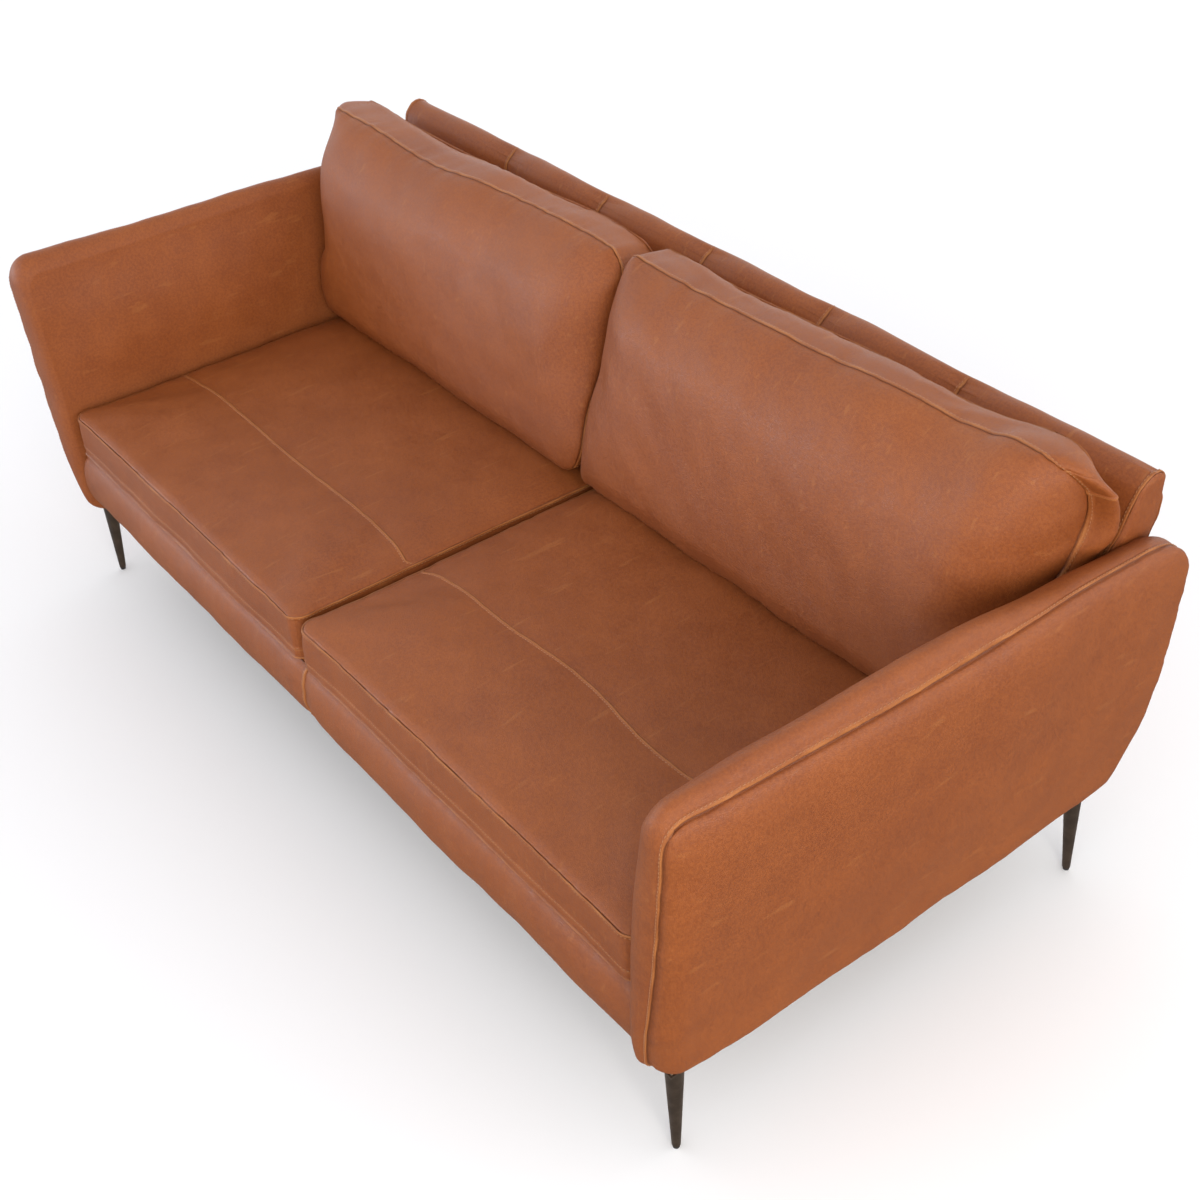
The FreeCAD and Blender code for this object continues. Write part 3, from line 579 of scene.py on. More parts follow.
# %% A padded box with lapped seams
class PaddedBox:
    """A box of leather on a closed grid: u and v run along its panels and w through it, from the under
    panel at 0 to the face panel at 1. `places` turns arrays s, t (-1..1) and w (0..1) into points."""

    def __init__(self, name, sizes, cells, places, mirrored=False, seed=1):
        self.name, self.sizes, self.mirrored = name, sizes, mirrored
        self.rng = np.random.default_rng(seed)
        self.skin = Skin(cells)
        s, t, w = (self.skin.places / np.array(cells)).T
        self.s, self.t, self.w = 2 * s - 1, 2 * t - 1, w
        self.points = places(self.s, self.t, self.w)

    def swell(self, held, cap, pressure=4.0):
        """Inflates the coarse box, with the edges of both panels gathered on their thread."""
        gathered = ((self.w == 1) | (self.w == 0)) & (np.maximum(abs(self.s), abs(self.t)) == 1)
        faces = self.skin.faces(self.mirrored)
        self.points = swell(self.name, self.points, faces, held, gathered.astype(float), cap, pressure)

    def keep_between(self, low, high, side):
        """Clips the points to a box that is given for the right-hand side, and mirrored for the left."""
        flip = (side, 1, 1)
        self.points = np.clip(self.points * flip, low, high) * flip

    def refine(self, cross=None, step=6.5 * MM):
        """Reads the box on a finer grid and works out how far each point is from the seams. `cross` gives
        the distances along an axis, 0, 1 or 2, at which a seam crosses the box."""
        cross = cross or {}
        lines = [close_lines(self.skin.cells[k], self.sizes[k], cross.get(k, ()), step) for k in range(3)]
        self.skin, self.points = self.skin.read_at(self.points, lines)
        gone = [line / line[-1] * size for line, size in zip(lines, self.sizes)]
        a, b, c = self.skin.places.T
        self.u, self.v, self.depth = gone[0][a], gone[1][b], gone[2][c]
        self.edge_u = np.minimum(self.u, self.sizes[0] - self.u)
        self.edge_v = np.minimum(self.v, self.sizes[1] - self.v)
        edge = np.minimum(self.edge_u, self.edge_v)
        self.on_face, self.on_under = c == c.max(), c == 0
        self.on_band = ~(self.on_face | self.on_under)
        self.from_face = np.where(self.on_face, edge, self.sizes[2] - self.depth)
        self.from_under = np.where(self.on_under, edge, self.depth)
        self.from_face[self.on_under] = self.from_under[self.on_face] = 1.0
        self.along = np.where(self.edge_u < self.edge_v, self.v, self.u + 3.0)
        self.faces = self.skin.faces(self.mirrored)
        self.lift = np.zeros(len(self.points))
        self.worn = np.zeros(len(self.points))
        # Painted shade, kept apart from wear: how much each point is darkened where it lies in shade.
        self.painted_shade = np.zeros(len(self.points))

    def redraw(self, places):
        """Works the points out again on the fine grid, for a shape that comes from its formula alone."""
        u, v, w = (2 * self.u / self.sizes[0] - 1, 2 * self.v / self.sizes[1] - 1, self.depth / self.sizes[2])
        self.points = places(u, v, w)

    def ring(self, depth):
        """The row numbers once round the band at the grid line nearest this distance from the under panel."""
        c = np.argmin(abs(self.depth_lines() - depth))
        rows = self.skin.row[:, :, c]
        return np.concatenate([rows[:-1, 0], rows[-1, :-1], rows[:0:-1, -1], rows[0, :0:-1], rows[:1, 0]])

    def depth_lines(self):
        """The distance of each of the grid's lines across the band from the under panel."""
        first = self.skin.row[0, 0, :]
        return self.depth[first]

    def lap(self, from_seam, lapped, ripple=0.9 * MM):
        """Raises a lapped seam. `from_seam` is the distance and `lapped` says which points are on the lip."""
        near = from_seam < 0.2
        self.lift += np.where(near, np.where(lapped, lip_height(from_seam), under_height(from_seam)), 0)
        fade = smooth(abs(self.edge_u - self.edge_v) / (25 * MM))
        self.lift += ripples(self.along, from_seam, self.rng, ripple) * fade
        patchy = 0.7 + 0.3 * np.sin(self.along * 61 + 2 * np.sin(self.along * 23))
        self.worn += np.where(lapped & near, bump(from_seam - 1.6 * MM, 3.0 * MM) * patchy, 0)
        # Painted shade: a thin dark line in the groove beside the fold.
        self.painted_shade += np.where(near & ~lapped, 0.55 * bump(from_seam, 0.7 * MM), 0)

    def cross_lap(self, there, ahead, size=1.0):
        """Raises a lapped seam across a panel where `ahead` is 0. Its lip is where `ahead` is negative."""
        self.lift += there * size * np.where(ahead < 0, lip_height(-ahead), under_height(ahead))

    def channel(self, there, across, along):
        """Sinks the slot that a zip lies in: 2.4 mm deep, 9 mm wide, with a raised fold on either side."""
        inside = there * (1 - smooth((abs(along) - ZIP_HALF - 4 * MM) / (4 * MM)))
        slot = 1 - smooth((abs(across) - 3.6 * MM) / (2 * MM))
        fold = bump(abs(across) - 8 * MM, 4 * MM)
        self.lift += inside * (0.5 * MM * fold - 2.4 * MM * slot)
        self.worn += inside * 0.5 * bump(abs(across) - 6 * MM, 1.5 * MM)
        self.give = self.give * (1 - 0.9 * there * bump(across, 30 * MM))

    def settle(self, broad=1.2 * MM):
        """Moves every point by its lift along its normal, with some broad unevenness."""
        self.normals = point_normals(self.points, self.faces)
        uneven = swells(self.points, self.rng, broad, 0.22) + swells(self.points, self.rng, 0.3 * broad, 0.07)
        self.points = self.points + self.normals * (self.lift + uneven * self.give)[:, None]
        self.normals = point_normals(self.points, self.faces)

    def sewn(self, rows):
        """Stitches along a line of the grid's points, given by their row numbers."""
        return sew(self.points[rows], self.normals[rows])

    def piece(self, material):
        """The finished box as an object, with its worn places and its painted shade stored on its points."""
        painted = {"worn": np.clip(self.worn, 0, 1), "painted_shade": np.clip(self.painted_shade, 0, 1)}
        return make_piece(self.name, self.points, self.faces, material, painted)


# %% One seat cushion
SEAT_SEAM_Z = 0.4215         # the height of the seam round the top panel
ZIP_ON_SEAT, ZIP_ON_BACK = 0.383, 0.500
ZIP_HALF, ZIP_MIDDLE = 0.325, 0.455
SEAT_REAR_Y = 0.269          # the rear face of a seat cushion, round its zip


def box_foot(low):
    """The height of the seam round a seat cushion's under panel."""
    return low[2] + 8.5 * MM


def seat_places(low, high, side):
    """Places of a seat cushion in its box: flat below, straight band, crowned top, sides pulled in."""
    middle, half = (low + high) / 2, (high - low) / 2
    face_z, crown_height, under_z = SEAT_SEAM_Z, 0.013, low[2] + 0.5 * MM

    def places(s, t, w):
        x, y = rounded(s, t, half[0] - 2 * MM, half[1] - 1 * MM, 28 * MM)
        x = x * (1 - 0.005 * (1 - t**2))
        y = y * (1 - 0.004 * (1 - s**2))
        swell_out = 1 + 0.008 * np.sin(np.pi * w)
        z = under_z + 8 * MM + (face_z - under_z - 8 * MM) * w
        z = z + np.where(w == 1, crown_height * crown(s, t, 5), 0)
        z = z - np.where(w == 0, 8 * MM * np.minimum(1, crown(s, t, 12) * 1.4), 0)
        return np.stack([side * (middle[0] + x * swell_out), middle[1] + y * swell_out, z], 1)

    return places


def cross_wander(u, side):
    """How far the cross seam strays backwards at a distance u from the inner end: one long wave, and a dip
    to the front where the two cushions meet."""
    wave = 13 * MM * np.cos(2 * np.pi * (u - 0.41) / 0.54) * bump(u - 0.53, 0.25) + 4 * MM
    if side < 0:
        wave = 2 * MM * np.sin(u / 0.09) - 8 * MM
    return wave - (20 if side > 0 else 10) * MM * np.exp(-u / (30 * MM))


def seat_cushion(word, side):
    """Swells a seat cushion's box and laps its seams: round both panels, across the top, along the band."""
    low, high = corners("seat_cushion_cover_" + word, side < 0)
    sizes = (high[0] - low[0], high[1] - low[1], 0.088)
    cells = (72, 60, 8)
    places = seat_places(low, high, side)
    box = PaddedBox("seat_cushion_" + word, sizes, cells, places, side < 0, seed=11 + side)
    held = np.where(box.w == 0, 1.0, np.where(box.t == 1, 0.6, 0.0))
    box.swell(held, 9 * MM)
    box.keep_between(low - (0, 6 * MM, 0), high + (0, 0, 5 * MM), side)
    cross = 0.255
    zip_depth = sizes[2] * (ZIP_ON_SEAT - box_foot(low)) / (SEAT_SEAM_Z - box_foot(low))
    hem = 15 * MM
    box.refine({1: (cross,), 2: (hem, zip_depth)})
    box.give = np.where(box.on_under, 0.0, 1.0)
    box.lap(box.from_face, ~box.on_face)
    box.lap(box.from_under, box.on_under, 0.4 * MM)
    above = box.depth - hem
    box.cross_lap(box.on_band, -above, 0.5)
    # Painted shade in the groove under the hem's lip.
    box.painted_shade += box.on_band * (above < 0) * 0.35 * bump(above, 0.8 * MM)
    box.worn += box.on_band * 0.5 * bump(above - 1.6 * MM, 2.4 * MM)
    wander = cross_wander(box.u, side)
    near = bump(box.v - cross, 55 * MM) * box.on_face
    box.points[:, 1] += near * wander * smooth((box.edge_u + 4 * MM) / (20 * MM))
    ahead = box.v - cross
    ridge = np.where(ahead < 0, lip_height(-1.4 * ahead) * 0.8, under_height(ahead) * 0.7)
    end = smooth(box.edge_u / (9 * MM))
    box.lift += np.where(box.on_face, ridge * end, 0)
    box.lift += np.where(box.on_face, ripples(box.u, abs(ahead), box.rng, 0.8 * MM, 30 * MM) * end, 0)
    box.lift -= np.where(box.on_face, 1.6 * MM * bump(ahead, 28 * MM) * end, 0)
    box.worn += np.where(box.on_face, end * bump(ahead + 1.4 * MM, 2.0 * MM), 0)
    # Painted shade in the cross seam's groove.
    box.painted_shade += np.where(box.on_face & (ahead > 0), 0.5 * bump(ahead, 1.0 * MM) * end, 0)
    on_rear = box.on_band & (box.v == box.v.max())
    flat = on_rear * bump(box.depth - zip_depth, 24 * MM)
    box.points[:, 1] += flat * (SEAT_REAR_Y - box.points[:, 1])
    box.channel(on_rear, box.depth - zip_depth, abs(box.points[:, 0]) - ZIP_MIDDLE)
    box.settle()
    piece = box.piece(cognac)
    lines = (box.ring(sizes[2] - STITCH_LINE), box.ring(hem + STITCH_LINE), cross_row(box, cross))
    return piece, [box.sewn(line) for line in lines]


def cross_row(box, cross):
    """The row numbers of the face panel's grid line that the cross seam is stitched along."""
    lines = box.v[box.skin.row[0, :, -1]]
    b = np.argmin(abs(lines - (cross - STITCH_LINE)))
    return box.skin.row[2:-2, b, -1]


# %% Thread, and sending a piece with its body
def make_thread(name, light, dark):
    """Twisted thread: slanting stripes, closer together than a stitch is long, between two colours."""
    material, tree, shader, place = begin(name)
    along_x, along_y, along_z = node(tree, "SeparateXYZ", {0: place}).outputs
    slant = math_node(tree, "ADD", math_node(tree, "ADD", along_x, along_y), along_z)
    twist = ramp(tree, math_node(tree, "SINE", math_node(tree, "MULTIPLY", slant, 9000.0)), -0.8, 0.8)
    tree.links.new(mixed(tree, twist, (*dark, 1), (*light, 1)), shader.inputs["Base Color"])
    tree.links.new(ramp(tree, twist, 0, 1, 0.6, 0.5), shader.inputs["Roughness"])
    relief(tree, shader, twist, 0.0001)
    shader.inputs["Sheen Weight"].default_value = 0.2
    return material


thread = make_thread("tan_thread", (0.50, 0.22, 0.075), (0.33, 0.125, 0.040))


def dress_cushion(cushion, rows, body, nodes):
    """Sends a cushion and its stitches with their body, in place of the frame's plain solids."""
    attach(cushion, body)
    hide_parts(*nodes)
    points, faces = joined(rows)
    stitches = make_piece(cushion.name + "_stitches", points, faces, thread)
    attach(stitches, body)
    count = len(faces) // len(stitch_shape()[1])
    print(cushion.name, len(cushion.data.polygons), "faces and", count, "stitches")


for word, side in SIDES:
    cushion, rows = seat_cushion(word, side)
    nodes = ["seat_cushion_%s_%s" % (part, word) for part in ("cover", "wadding", "foam")]
    dress_cushion(cushion, rows, "seat_cushion_" + word, nodes)


# %% [markdown]
# ## The back cushions
# A back cushion is softer: a fibre-filled bag with a band round it, leaning against the back. Its front
# swells well out beyond its seams, most of all in the upper half, and its top edge waves a little where
# the filling has settled. Its box is drawn upright along the lean of the back, so the same padded box
# serves, with w running from the back to the front. Air pressure alone would make it as round as a balloon,
# so the formula gives it the form that years of leaning leave, and the cloth adds the last few millimetres.

# %% One back cushion
def lean_of_back():
    """How the front of the back leans: the y of its face at the floor, and how far it leans a metre up."""
    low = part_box("back_cover_front")[0]
    rake = 0.3
    return low[1] - rake * low[2], rake


def turned(p, half, radius):
    """Spaces even places p, -1..1, evenly round a quarter turn at each end of a panel 2 * half long.

    An arc a from the edge lies r * (1 - cos(a / r)) in from it, and the panel has risen by sin(a / r) there.
    Returns where the places lie, and how far each has risen, 0..1."""
    reach = half + (np.pi / 2 - 1) * radius
    arc = (1 - np.abs(p)) * reach
    angle = np.minimum(arc / radius, np.pi / 2)
    inward = radius * (1 - np.cos(angle)) + np.maximum(arc - radius * np.pi / 2, 0)
    return np.sign(p) * (half - inward), np.sin(angle)


CUSHION_TOP = 0.8465
END_TURN, TOP_TURN, FOOT_TURN = 0.11, 0.095, 0.055


def back_places(low, side):
    """Places of a back cushion: a rear panel that lies on the back, a band and a swollen front panel.

    The front panel stands on its seam like a quarter ellipse all round and is nearly flat between."""
    foot, rake = lean_of_back()
    bottom, top = low[2] + 2 * MM, CUSHION_TOP
    height = top - bottom
    inner = low[0] + (-8 * MM if side > 0 else 4 * MM)

    def outer_x(share):
        return 0.908 + 0.043 * (1 - (1 - np.clip(share, 0, 1)) ** 1.9)

    def places(s, t, w):
        # The outline: the panel's grid lines crowd into its turned edges, and its corners are round.
        half = (outer_x(1) - inner) / 2
        along, end_rise = turned(s, half, END_TURN)
        up, top_rise = turned(t, height / 2, np.where(t > 0, TOP_TURN, FOOT_TURN))
        corner = np.where(s * side > 0, 56 * MM, 22 * MM)
        along, up = rounded(along / half, up / (height / 2), half, height / 2, corner)
        z = bottom + height / 2 + up
        share = (z - bottom) / height
        x = inner + (outer_x(share) - inner) * (along / half + 1) / 2

        # The rear panel lies on the back and turns forwards above it.
        rear = foot + rake * z - 9 * MM
        rear = rear - 0.085 * smooth((share - 0.62) / 0.38) ** 1.3

        # The seam leans back with the cushion, and is pulled back at its ends, most of all at the outer one.
        bowed = smooth((share - 0.28) / 0.3) * (1 - np.clip((share - 0.6) / 0.4, 0, 1) ** 3)
        near_end = np.clip(1 - (half - np.abs(along)) / END_TURN, 0, 1)
        seam = 0.128 + 0.135 * share**1.35 + np.where(s > 0, 0.118, 0.015) * bowed * near_end

        # The face stands out beyond the seam. Each cushion has slumped forwards or back in its own way.
        face = 0.101 + 0.164 * (z - 0.44) + 0.55 * (z - 0.6) ** 2 - 0.008 * (1 - s**2)
        lean = -28 * MM * smooth((x - 0.28) / 0.3) if side < 0 else 13 * MM * bump(x - 0.72, 0.28)
        seam, rear = seam + lean * share, rear + lean * share / 2
        face = face + (lean * share if side < 0 else 0)
        front = np.where(w == 1, seam + (face - seam) * end_rise * top_rise, seam)
        y = np.where(w == 1, front, rear + (seam - rear) * w)

        # The band is plump. At the outer end it bulges over the arm, and the seam is drawn in beside it.
        belly = np.sin(np.pi * w)
        free = smooth((z - 0.665) / 0.06)
        x = x + belly * near_end * np.where(s > 0, (7 + 19 * free) * MM, -1 * MM)
        x = x - 17 * MM * w**2 * near_end * (s > 0) * smooth((share - 0.2) / 0.2)
        z = z + 4 * MM * belly * np.sign(t) * (1 - near_end)
        z = z - 0.016 * smooth((share - 0.7) / 0.3) * (1 - w)

        # The top edge rises towards its outer corner, and waves where the filling has settled.
        wave = np.sin(x / 0.083 + 1.3 * side) + 0.7 * np.sin(x / 0.047 + 2 * side)
        at_top = smooth((share - 0.8) / 0.2)
        if side < 0:
            z = z + 10 * MM * smooth((x - 0.78) / 0.16) * at_top
            x = x + 18 * MM * near_end * (s > 0) * smooth((share - 0.45) / 0.3)
        else:
            z = z + 19 * MM * bump(x - 0.875, 85 * MM) * at_top
        z = z + 2.2 * MM * wave * at_top
        y = y + 3.5 * MM * np.sin(x / 0.062 + side) * at_top * (1 - w)
        return np.stack([side * x, y, z], 1)

    return places


def back_cushion(word, side):
    """Swells a back cushion's box and laps its seams: round both panels, and a joint across the band."""
    low, high = corners("back_cushion_cover_" + word, side < 0)
    sizes = (1.07, 0.48, 0.085)
    cells = (90, 40, 8)
    places = back_places(low, side)
    box = PaddedBox("back_cushion_" + word, sizes, cells, places, side < 0, seed=31 + side)
    held = np.where(box.w == 0, 1.0, np.where((box.t == -1), 0.7, 0.0))
    box.swell(held, 8 * MM)
    overhang = 4 * MM if side > 0 else 20 * MM
    box.keep_between(low - (9 * MM, 25 * MM, 0), high + (overhang, 0, 6 * MM), side)
    joint_v = sizes[1] - 0.096
    zip_v = np.interp(ZIP_ON_BACK, *heights(box, sizes[1]))
    box.refine({1: (zip_v, joint_v)})
    box.give = np.where(box.on_under, 0.3, 1.0)
    box.lap(box.from_face, ~box.on_face, 1.1 * MM)
    box.lap(box.from_under, box.on_under, 0.5 * MM)
    gusset = box.on_band & (box.u == box.u.max())
    above = box.v - joint_v
    box.cross_lap(gusset, -above, 0.8)
    share = box.depth / sizes[2]
    box.points[:, 2] += gusset * bump(above, 45 * MM) * (1 - share) * 7 * MM
    box.worn += gusset * bump(above - 1.6 * MM, 2.4 * MM)
    # Painted shade in the groove below the gusset joint's lip.
    box.painted_shade += gusset * (above < 0) * 0.5 * bump(above, 1.0 * MM)
    box.channel(box.on_under, box.v - zip_v, abs(box.points[:, 0]) - ZIP_MIDDLE)
    box.settle(2.0 * MM)
    # Painted shade: the face darkens over its lowest 16 cm, towards the seat.
    box.painted_shade += box.on_face * 0.13 * smooth((low[2] + 0.16 - box.points[:, 2]) / 0.16)
    return box.piece(cognac), [box.sewn(box.ring(sizes[2] - STITCH_LINE))]


def heights(box, length):
    """The height of the rear panel at distances up its middle, as (heights, distances) for looking up."""
    rows = box.skin.row[len(box.skin.row) // 2, :, 0]
    return box.points[rows, 2], np.linspace(0, length, len(rows))


for word, side in SIDES:
    cushion, rows = back_cushion(word, side)
    nodes = ["back_cushion_%s_%s" % (part, word) for part in ("cover", "insert")]
    dress_cushion(cushion, rows, "back_cushion_" + word, nodes)


# %% [markdown]
# ## The arms
# An arm is a padded slab that leans outwards. Its outer panel is a plump pillow of its own, set in a
# lapped seam that runs right round it; the inner panel wraps over the top and the front edge up to that
# seam. So the arm is one more padded box, lying on its side: u runs back, v up, and w from the inner
# panel out to the seam. A lofted slab with a bevel would come close, but its crest would be equally round
# all the way, and here it is pressed down at the rear, where the back cushion leans over it.

# %% One arm
def corner_share(s, t, half_u, half_v, radius):
    """0 along the top and bottom of an outline, 1 along its ends, and a smooth passage round its corners."""
    a = np.clip((np.abs(s) * half_u - half_u + radius) / radius, 0, 1)
    b = np.clip((np.abs(t) * half_v - half_v + radius) / radius, 0, 1)
    return smooth((1 + a - b) / 2)


def swelled(distance, radius):
    """A quarter circle's rise: 0 at an edge, 1 from `radius` inwards."""
    return np.sqrt(1 - np.clip(1 - distance / radius, 0, 1) ** 2)


def arch(distance, width):
    """One arch of a sine: 0 at an edge, 1 at half of `width` from it, and 0 again from `width` inwards."""
    return np.sin(np.pi * np.clip(distance / width, 0, 1))


ARM_TURN = np.radians(150)   # how far the strip turns from the inner face to the outer seam
ARM_TOP = {-1: 0.7335, 1: 0.7290}
ARM_PRESSED = {-1: 6 * MM, 1: 29 * MM}      # how far the back cushion presses the rear of each arm down


def arm_places(low, high, side):
    """Places of an arm. Seen from the side its outline is a rectangle with round corners, cut back below.

    Across the strip the leather turns through 150 degrees: from the inner face it climbs to a crest and
    falls again to the outer seam. Beyond the seam the outer panel rises at once, as a plump pillow does."""
    front, rear, bottom, top = low[1], high[1] + 3 * MM, low[2] - 5 * MM, ARM_TOP[side]
    length, height = rear - front, top - bottom

    def share_of(z):
        return np.clip((z - bottom) / (top - bottom), 0, 1)

    def inner_x(z):
        return 0.904 + 0.050 * share_of(z) ** 1.9

    def seam_x(z):
        return 0.926 + 0.0725 * (1 - (1 - share_of(z)) ** 1.6)

    def outer_x(z):
        return 0.966 + 0.054 * (1 - (1 - share_of(z)) ** 1.9)

    def outline(s, t, inset, dip):
        """The arm seen from the side, `inset` smaller all round, with its top sagging by `dip`."""
        half_u, half_v = length / 2 - inset, height / 2 - inset
        corner = np.where(t > 0, np.where(s > 0, 92 * MM, 44 * MM), 36 * MM) - 0.5 * inset
        u, v = rounded(s, t, half_u, half_v, corner)
        y, z = (front + rear) / 2 + u, (bottom + top) / 2 + v
        share = (u + half_u) / (2 * half_u)
        # Low down, both ends slant inwards, and between them the lower edge and the top hang a little.
        y = y + 15 * MM * np.clip((0.30 - z) / (0.30 - bottom), 0, 1) ** 1.5 * (1 - share)
        y = y - 42 * MM * np.clip((0.335 - z) / (0.335 - bottom), 0, 1) ** 1.25 * share
        sag = np.sin(np.pi * np.clip(share, 0, 1)) ** 1.5
        z = z - 23 * MM * sag * (1 - share_of(z)) ** 3 - dip * sag * smooth((z - 0.55) / 0.15)
        # The top drops away towards its rear end.
        return y, z - 17 * MM * smooth((share - 0.72) / 0.28) * smooth((z - 0.45) / 0.25)

    def places(s, t, w):
        # The strip turns over the edge: its outline is smallest at the two panels and full at the crest.
        ends = corner_share(s, t, length / 2, height / 2, np.where(t > 0, 70 * MM, 30 * MM))
        turn_in = np.where(t > 0, 30 * MM, 7 * MM) * (1 - ends) + np.where(s > 0, 24 * MM, 20 * MM) * ends
        turn_out = np.where(t > 0, 46 * MM, 8 * MM) * (1 - ends) + np.where(s > 0, 16 * MM, 12 * MM) * ends
        angle = ARM_TURN * w
        inset = np.where(angle < np.pi / 2, turn_in, turn_out) * (1 - np.sin(angle))
        y, z = outline(s, t, inset, 17 * MM * w**2)
        at_rear = smooth((y - 0.02) / 0.22) * smooth((z - 0.5) / 0.2)
        z = z - ARM_PRESSED[side] * at_rear * (1 - w**3)

        # Across, it goes from the inner face to the outer seam. The left arm flares a little more in front.
        across = (1 - np.cos(angle)) / (1 - np.cos(ARM_TURN))
        x = inner_x(z) + (seam_x(z) - inner_x(z)) * across
        x = np.where(w == 0, inner_x(z), x)
        if side < 0:
            x = x + 9 * MM * w * smooth((0.25 - y) / 0.5) * smooth((z - 0.2) / 0.2)

        # The outer panel rises from its seam in a quarter circle on all sides.
        from_front, from_rear = (1 + s) * length / 2, (1 - s) * length / 2
        from_low, from_top = (1 + t) * height / 2, (1 - t) * height / 2
        rise = swelled(from_front, 45 * MM) * swelled(from_rear, 26 * MM)
        rise = rise * swelled(from_low, 30 * MM) * swelled(from_top, 84 * MM)
        plump = 6 * MM * np.sin(np.pi * (s + 1) / 2) * np.sin(np.pi * (t + 1) / 2)
        on_panel = w == 1
        x = np.where(on_panel, x + (outer_x(z) - seam_x(z)) * rise + plump, x)

        # The inner panel is plump where no cushion touches it.
        ahead = smooth((0.16 - y) / 0.25) * smooth((z - 0.43) / 0.12)
        x = x - (w == 0) * 11 * MM * ahead * smooth(from_front / 0.16) * smooth(from_top / 0.14)

        # The outer panel overhangs its own seam: down below, up above and back behind.
        hang = arch(from_low, 70 * MM) * swelled(from_front, 0.1) * swelled(from_rear, 0.1)
        z = z - on_panel * 12 * MM * hang
        z = z + on_panel * 4 * MM * arch(from_top, 60 * MM)
        y = y + on_panel * 9 * MM * arch(from_rear, 60 * MM) * smooth((z - 0.2) / 0.1)
        return np.stack([side * x, y, z], 1)

    return places


def arm(word, side):
    """Draws an arm's box on the fine grid and laps its outer seam. Its leather is drawn tight over foam, so
    it isn't inflated."""
    low, high = corners("arm_cover_outer_" + word)
    sizes = (high[1] - low[1], high[2] - low[2], 0.085)
    places = arm_places(low, high, side)
    box = PaddedBox("arm_" + word, sizes, (82, 44, 14), places, side < 0, seed=51 + side)
    box.refine()
    box.redraw(places)
    box.give = np.ones(len(box.points))
    box.lap(box.from_face, ~box.on_face, 0.8 * MM)
    box.settle(1.5 * MM)
    return box.piece(cognac), [box.sewn(box.ring(sizes[2] - STITCH_LINE))]


for word, side in SIDES:
    piece, rows = arm(word, side)
    nodes = ["arm_%s_%s" % (part, word) for part in ("cover_outer", "cover_inner", "padding")]
    dress_cushion(piece, rows, "sofa_frame", nodes)


# %% [markdown]
# ## The back
# Behind the loose cushions stands the back itself, a padded wall sewn into six upright channels. Each
# channel is a shallow pillow between two seams that are pulled down into the foam, so the crest of the
# back rises and dips as well. Here the long way of the padded box is the sofa's length: its two panels
# are the ends of the back, its band the front, crest and rear.

# %% The back and its channels
CHANNEL = 0.3033
# Half the width of the back at a few heights: it just clears the arms, and is wider above them.
BACK_HEIGHTS = (0.332, 0.40, 0.56, 0.664, 0.70, 0.75, 0.80)
BACK_HALF_WIDTHS = (0.899, 0.908, 0.929, 0.946, 0.955, 0.959, 0.964)


def back_wall_places(low, high):
    """Places of the back: a leaning front, an upright rear, a round crest, and ends that follow the arms."""
    foot, rake = lean_of_back()
    rear, bottom, top = high[1], low[2] - 4 * MM, 0.7975
    round_top = 30 * MM

    def places(s, t, w):
        u, v = rounded(s, t, round_top, (top - bottom) / 2, round_top - MM)
        z = (top + bottom) / 2 + v
        front = foot + rake * z
        y = front + (rear - front) * (u / (2 * round_top) + 0.5)
        half = np.interp(z, BACK_HEIGHTS, BACK_HALF_WIDTHS)
        x = half * (2 * w - 1)
        z = z - 9 * MM * x * smooth((z - 0.7) / 0.1)
        end = np.where(w == 1, 1, 0) - np.where(w == 0, 1, 0)
        return np.stack([x + end * 9 * MM * crown(s, t, 3), y, z], 1)

    return places


def channels(x, depth, sharp=2.4):
    """How far a row of channels is pulled in: nothing in the middle of each, `depth` at its seams."""
    place = np.abs(np.mod(x / CHANNEL, 1) * 2 - 1)
    return -depth * place**sharp


def back_wall():
    """The back: its front is pulled in at five upright seams, and there is a lapped seam round each end."""
    low, high = corners("back_cover_front")
    ends_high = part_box("back_cover_ends")[1]
    sizes = (0.11, high[2] - low[2], 2 * ends_high[0])
    box = PaddedBox("back", sizes, (10, 40, 160), back_wall_places(low, high), seed=71)
    seams = [sizes[2] / 2 + k * CHANNEL for k in range(-2, 3)]
    box.refine({2: seams}, 8 * MM)
    box.give = np.where(box.on_face | box.on_under, 0.5, 1.0)
    box.lap(box.from_face, ~box.on_face, 0.8 * MM)
    box.lap(box.from_under, ~box.on_under, 0.8 * MM)
    x = box.depth - sizes[2] / 2
    frontal = np.where(box.on_band, smooth((sizes[0] - box.u) / (0.7 * sizes[0])), 0) * smooth(box.v / 0.05)
    box.lift += frontal * channels(np.clip(x, -2.5 * CHANNEL, 2.5 * CHANNEL), 13 * MM)
    for seam in seams:
        ahead = box.depth - seam
        box.cross_lap(frontal, ahead, 0.7)
        box.worn += frontal * np.where(ahead < 0, bump(ahead + 1.6 * MM, 2.6 * MM), 0)
        # Painted shade in each channel seam's groove, and a faint broad shade around it.
        box.painted_shade += frontal * (0.4 * bump(ahead - 0.6 * MM, 1.0 * MM) + 0.06 * bump(ahead, 9 * MM))
        box.lift += frontal * ripples(box.v + box.u, abs(ahead), box.rng, 1.2 * MM, 26 * MM)
    box.settle(1.5 * MM)
    rows = []
    for seam in seams:
        c = np.argmin(abs(box.depth_lines() - seam + STITCH_LINE))
        rows.append(box.sewn(np.concatenate([box.skin.row[0, :, c], box.skin.row[1:-2, -1, c]])))
    for depth in (STITCH_LINE, sizes[2] - STITCH_LINE):
        rows.append(box.sewn(box.ring(depth)))
    return box.piece(cognac), rows


wall, rows = back_wall()
dress_cushion(wall, rows, "sofa_frame", ["back_cover_front", "back_cover_ends", "back_padding"])


